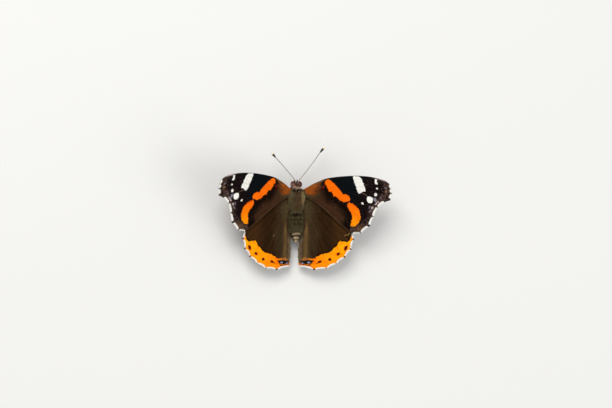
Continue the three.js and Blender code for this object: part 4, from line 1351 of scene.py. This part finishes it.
def make_antenna(side):
    """Feeler with its rings, club and tip"""
    line = smooth_line(ANTENNA[side], ANTENNA_STEP)
    run = np.linspace(0, 1, len(line))
    phase = (run * ANTENNA_STEP * len(line) / JOINT_LENGTH) % 1
    club = rise(run, CLUB_START, CLUB_FULL)
    past = np.clip((run - CLUB_ROUNDING) / (1 - CLUB_ROUNDING), 0, 0.98)
    radii = (SHAFT_RADIUS + (CLUB_RADIUS - SHAFT_RADIUS) * club) * np.sqrt(1 - past**2)
    radii = radii * (1 + JOINT_SWELL * np.sin(math.pi * phase))
    colours = mix(SHAFT_DARK, SHAFT_PALE, (phase < PALE_SHARE) * 1.0)
    colours = mix(colours, CLUB_BLACK, rise(run, CLUB_START, CLUB_START + 0.03))
    colours = mix(colours, CLUB_TIP, rise(run, TIP_START, TIP_FULL))
    points, triangles, ring = tube(line, radii, SHAFT_SIDES)
    feeler = Heap()
    feeler.add(points, triangles, colours[ring])
    feeler = feeler.on_side(side)
    make_piece(f"antenna_{side}_rings", feeler, HORN, [f"antenna_{side}"], smooth=True)


COIL_CENTRE = (-6.0, -2.85)
COIL_TURNS = 1.25
COIL_REACH = (1.0, 0.25)
COIL_HALF_GAP = 0.085
COIL_RADIUS = (0.11, 0.08)
COIL_POINTS = 120
COIL_RINGS = 60
COIL_BROWN = pigment(120, 84, 50)


def make_proboscis():
    """Coiled tongue of two tubes side by side"""
    t = np.linspace(0, 1, COIL_POINTS)
    turn = math.pi / 2 + 2 * math.pi * COIL_TURNS * t
    reach = np.interp(t, (0, 1), COIL_REACH)
    y, z = COIL_CENTRE[0] - reach * np.cos(turn), COIL_CENTRE[1] + reach * np.sin(turn)
    radii = np.interp(t, (0, 1), COIL_RADIUS)
    colours = mix(SHAFT_DARK, COIL_BROWN, 0.5 + 0.5 * np.sin(COIL_RINGS * t))
    coil = Heap()
    for x in (-COIL_HALF_GAP, COIL_HALF_GAP):
        points, triangles, ring = tube(np.column_stack([0 * t + x, y, z]), radii, COIL_SIDES)
        coil.add(points, triangles, colours[ring])
    make_piece("proboscis_coil", coil, HORN, ["proboscis"], smooth=True)


# Legs: hip, knee, ankle and toes, as heights over the floor
LEGS = {
    "midleg": [(1.3, -0.9, 4.4), (5.1, -2.7, 4.7), (7.5, -4.1, 0.7), (10.0, -5.7, 0.2)],
    "hindleg": [(1.2, 1.5, 4.4), (4.5, 5.0, 4.6), (6.6, 8.6, 0.7), (7.9, 11.8, 0.2)],
}
# Part: radii from end to end, bow of the middle upward, scales, share of spines
LEG_PARTS = {
    "femur": ((0.28, 0.34, 0.22), 0.25, 700, 0.0),
    "tibia": ((0.19, 0.2, 0.16), 0.1, 500, 0.12),
    "tarsus": ((0.15, 0.13, 0.11), -0.22, 360, 0.14),
}
LEG_STEP = 0.06
TOE_JOINTS = 5
TOE_CLEARANCE = 0.01
SPINE = (0.34, 0.05)
LEG_SCALE = (0.26, 0.09)
LEG_BUFF = pigment(150, 122, 84)
LEG_BROWN = pigment(84, 62, 42)
CLAW = pigment(40, 26, 18)
CLAW_RADII = (0.045, 0.012)
# Bends of a claw: forward, sideways and height from the end of the toes
CLAW_BENDS = ((-0.05, 0, 0), (0.15, 0.08, 0.04), (0.28, 0.12, -0.03))
CLAW_STEP = 0.03
CLAW_CLEARANCE = 0.05
HAIR_CLEARANCE = 0.002


LIMB_ROOT_DEPTH = 0.03
BAKE_STRIP_START = 0.3
BAKE_STRIP_WIDTH = 0.3
PART_BAKE_START = 0.02
PART_BAKE_PITCH = 0.32
PART_BAKE_LENGTH = 0.28


def limb_places(chance, along):
    """Bake places of a limb's hairs, anywhere across a strip"""
    return np.column_stack([along, BAKE_STRIP_START + BAKE_STRIP_WIDTH * chance.random(len(along))])


def hair_round(heap, chance, line, radii, index, lean, length, width, lift, colours, places):
    """Hair from a limb's surface at given steps of its line, leaning outward by its own share"""
    way = unit(line[index + 1] - line[index - 1])
    out = chance.normal(0, 1, (len(index), 3))
    out = unit(out - way * (out * way).sum(1)[:, None])
    lie = unit(way + out * lean[:, None])
    up = unit(out - lie * (out * lie).sum(1)[:, None])
    roots = line[index] + out * (radii[index] - LIMB_ROOT_DEPTH)[:, None]
    lay_hair(heap, roots, lie, up, length, width, np.full(len(index), lift), colours, places)


def make_leg(name, side):
    """Walking leg with its scales and spines, ending in two claws"""
    chance = np.random.default_rng(101)
    limb, scales = Heap(), Heap()
    for number, (start, end, part) in enumerate(zip(LEGS[name], LEGS[name][1:], LEG_PARTS)):
        ends, bow, count, spines = LEG_PARTS[part]
        start, end = np.array(start), np.array(end)
        line = smooth_line([start, (start + end) / 2 + (0, 0, bow), end], LEG_STEP) - (0, 0, BODY_HEIGHT)
        run = np.linspace(0, 1, len(line))
        radii = np.interp(run, (0, 0.5, 1), ends)
        if part == "tarsus":
            radii = radii * (0.8 + 0.3 * np.sin(0.9 * math.pi * (run * TOE_JOINTS % 1)))
            line[:, 2] = np.maximum(line[:, 2], radii + TOE_CLEARANCE - BODY_HEIGHT)
        points, triangles, _ = tube(line, radii, LIMB_SIDES)
        limb.add(points, triangles, mix(LEG_BROWN, LEG_BUFF, 0.5 + 0.5 * field(points[:, :2], 0.5, 103)))
        index = chance.integers(2, len(line) - 2, count)
        spiny = chance.random(count) < spines
        length, width = np.where(spiny, np.array(SPINE)[:, None], np.array(LEG_SCALE)[:, None])
        shade = np.where(spiny[:, None], CLAW, mix(LEG_BROWN, LEG_BUFF, chance.random(count)))
        part_start = PART_BAKE_START + PART_BAKE_PITCH * number
        places = limb_places(chance, part_start + PART_BAKE_LENGTH * run[index])
        lean = np.where(spiny, 0.7, 0.12)
        [length] = varied(chance, count, (length, 0.2))
        hair_round(scales, chance, line, radii, index, lean, length, width, 0.05, shade, places)
    way = (line[-1] - line[-6]) / np.linalg.norm(line[-1] - line[-6])
    across = np.cross(way, (0, 0, 1))
    for apart in (-1, 1):
        bends = []
        for forward, sideways, height in CLAW_BENDS:
            bends.append(line[-1] + way * forward + across * sideways * apart + (0, 0, height))
        hook = smooth_line(bends, CLAW_STEP)
        hook[:, 2] = np.maximum(hook[:, 2], CLAW_CLEARANCE - BODY_HEIGHT)
        points, triangles, _ = tube(hook, np.linspace(*CLAW_RADII, len(hook)), CLAW_SIDES)
        limb.add(points, triangles, CLAW)
    lowest = (-np.inf, -np.inf, HAIR_CLEARANCE - BODY_HEIGHT)
    scales.points = [np.maximum(points, lowest) for points in scales.points]
    nodes = [f"{name}_{part}_{side}" for part in LEG_PARTS]
    make_piece(f"{name}_{side}_limb", limb.on_side(side), HORN, nodes, smooth=True)
    make_piece(f"{name}_{side}_scales", scales.on_side(side), FUR)


FORELEG = [(1.25, -2.2, -2.0), (1.2, -3.5, -2.75), (1.05, -4.8, -3.0), (1.0, -5.15, -2.45)]
FORELEG_RADII = (0.22, 0.2, 0.1)
FORELEG_HAIRS = 900


def make_foreleg(side):
    """Brush foot, folded under the head and thick with long hair"""
    chance = np.random.default_rng(111)
    line = smooth_line(FORELEG, LEG_STEP)
    radii = np.interp(np.linspace(0, 1, len(line)), (0, 0.5, 1), FORELEG_RADII)
    limb, hair = Heap(), Heap()
    points, triangles, _ = tube(line, radii, LIMB_SIDES)
    limb.add(points, triangles, THORAX_UNDER * 0.6)
    make_piece(f"foreleg_{side}_limb", limb.on_side(side), SKIN, [f"foreleg_{side}"], smooth=True)
    index = chance.integers(1, len(line) - 1, FORELEG_HAIRS)
    places = limb_places(chance, 0.05 + 0.9 * index / len(line))
    colours = mix(THORAX_UNDER, HAIR_OLIVE, chance.random(FORELEG_HAIRS))
    lean, width = np.full(FORELEG_HAIRS, 0.35), np.full(FORELEG_HAIRS, 0.05)
    [length] = varied(chance, FORELEG_HAIRS, (0.5, 0.3))
    hair_round(hair, chance, line, radii, index, lean, length, width, 0.12, colours, places)
    make_piece(f"foreleg_{side}_hair", hair.on_side(side), FUR)


make_proboscis()
for side in SIDES:
    make_eye(side)
    make_antenna(side)
    make_foreleg(side)
    for name in LEGS:
        make_leg(name, side)

# Studio: floor, light and camera
scene = bpy.context.scene
scene.view_settings.view_transform = "Standard"
centre = Vector(BODY) * MM
FLOOR_HALF = 3.0
FLOOR_COLOUR = (0.76, 0.75, 0.72, 1)
FLOOR_ROUGHNESS = 0.8
SKY_COLOUR = (0.95, 0.97, 1, 1)
SKY_STRENGTH = 0.5
CLIP_START = 0.01
# Softboxes: place and size in metres, and power in watts
SOFTBOXES = {
    "key_light": ((0.35, -0.5, 0.9), 0.5, 8),
    "fill_light": ((-0.7, 0.4, 0.7), 0.8, 4),
}


def add_floor():
    mesh = bpy.data.meshes.new("floor")
    corners = [(x * FLOOR_HALF, y * FLOOR_HALF, 0) for x, y in ((-1, -1), (1, -1), (1, 1), (-1, 1))]
    mesh.from_pydata(corners, [], [(0, 1, 2, 3)])
    material = bpy.data.materials.new("floor_paint")
    material.use_nodes = True
    shader = material.node_tree.nodes["Principled BSDF"]
    shader.inputs["Base Color"].default_value = FLOOR_COLOUR
    shader.inputs["Roughness"].default_value = FLOOR_ROUGHNESS
    mesh.materials.append(material)
    floor = bpy.data.objects.new("floor", mesh)
    scene.collection.objects.link(floor)


def add_world():
    world = bpy.data.worlds.new("studio")
    world.use_nodes = True
    background = world.node_tree.nodes["Background"]
    background.inputs["Color"].default_value = SKY_COLOUR
    background.inputs["Strength"].default_value = SKY_STRENGTH
    scene.world = world


def add_softbox(name, place, size, power):
    data = bpy.data.lights.new(name, "AREA")
    data.shape = "SQUARE"
    data.size = size
    data.energy = power
    lamp = bpy.data.objects.new(name, data)
    lamp.location = place
    lamp.rotation_euler = (centre - lamp.location).to_track_quat("-Z", "Y").to_euler()
    scene.collection.objects.link(lamp)


def add_camera():
    image_right = Vector((-math.cos(VIEW_LEAN), 0, math.sin(VIEW_LEAN)))
    image_down = Vector((0, 1, 0))
    towards = Vector((math.sin(VIEW_LEAN), 0, math.cos(VIEW_LEAN)))
    data = bpy.data.cameras.new("camera")
    data.sensor_width = SENSOR_WIDTH
    data.lens = SENSOR_WIDTH * CAMERA_DISTANCE / FRAME_WIDTH
    data.clip_start = CLIP_START
    camera = bpy.data.objects.new("camera", data)
    target = centre + (image_right * AIM_RIGHT + image_down * AIM_DOWN) * MM
    axes = Matrix([image_right, -image_down, towards]).transposed()
    camera.matrix_world = Matrix.Translation(target + towards * CAMERA_DISTANCE * MM) @ axes.to_4x4()
    scene.collection.objects.link(camera)
    scene.camera = camera


add_floor()
add_world()
for name, softbox in SOFTBOXES.items():
    add_softbox(name, *softbox)
add_camera()
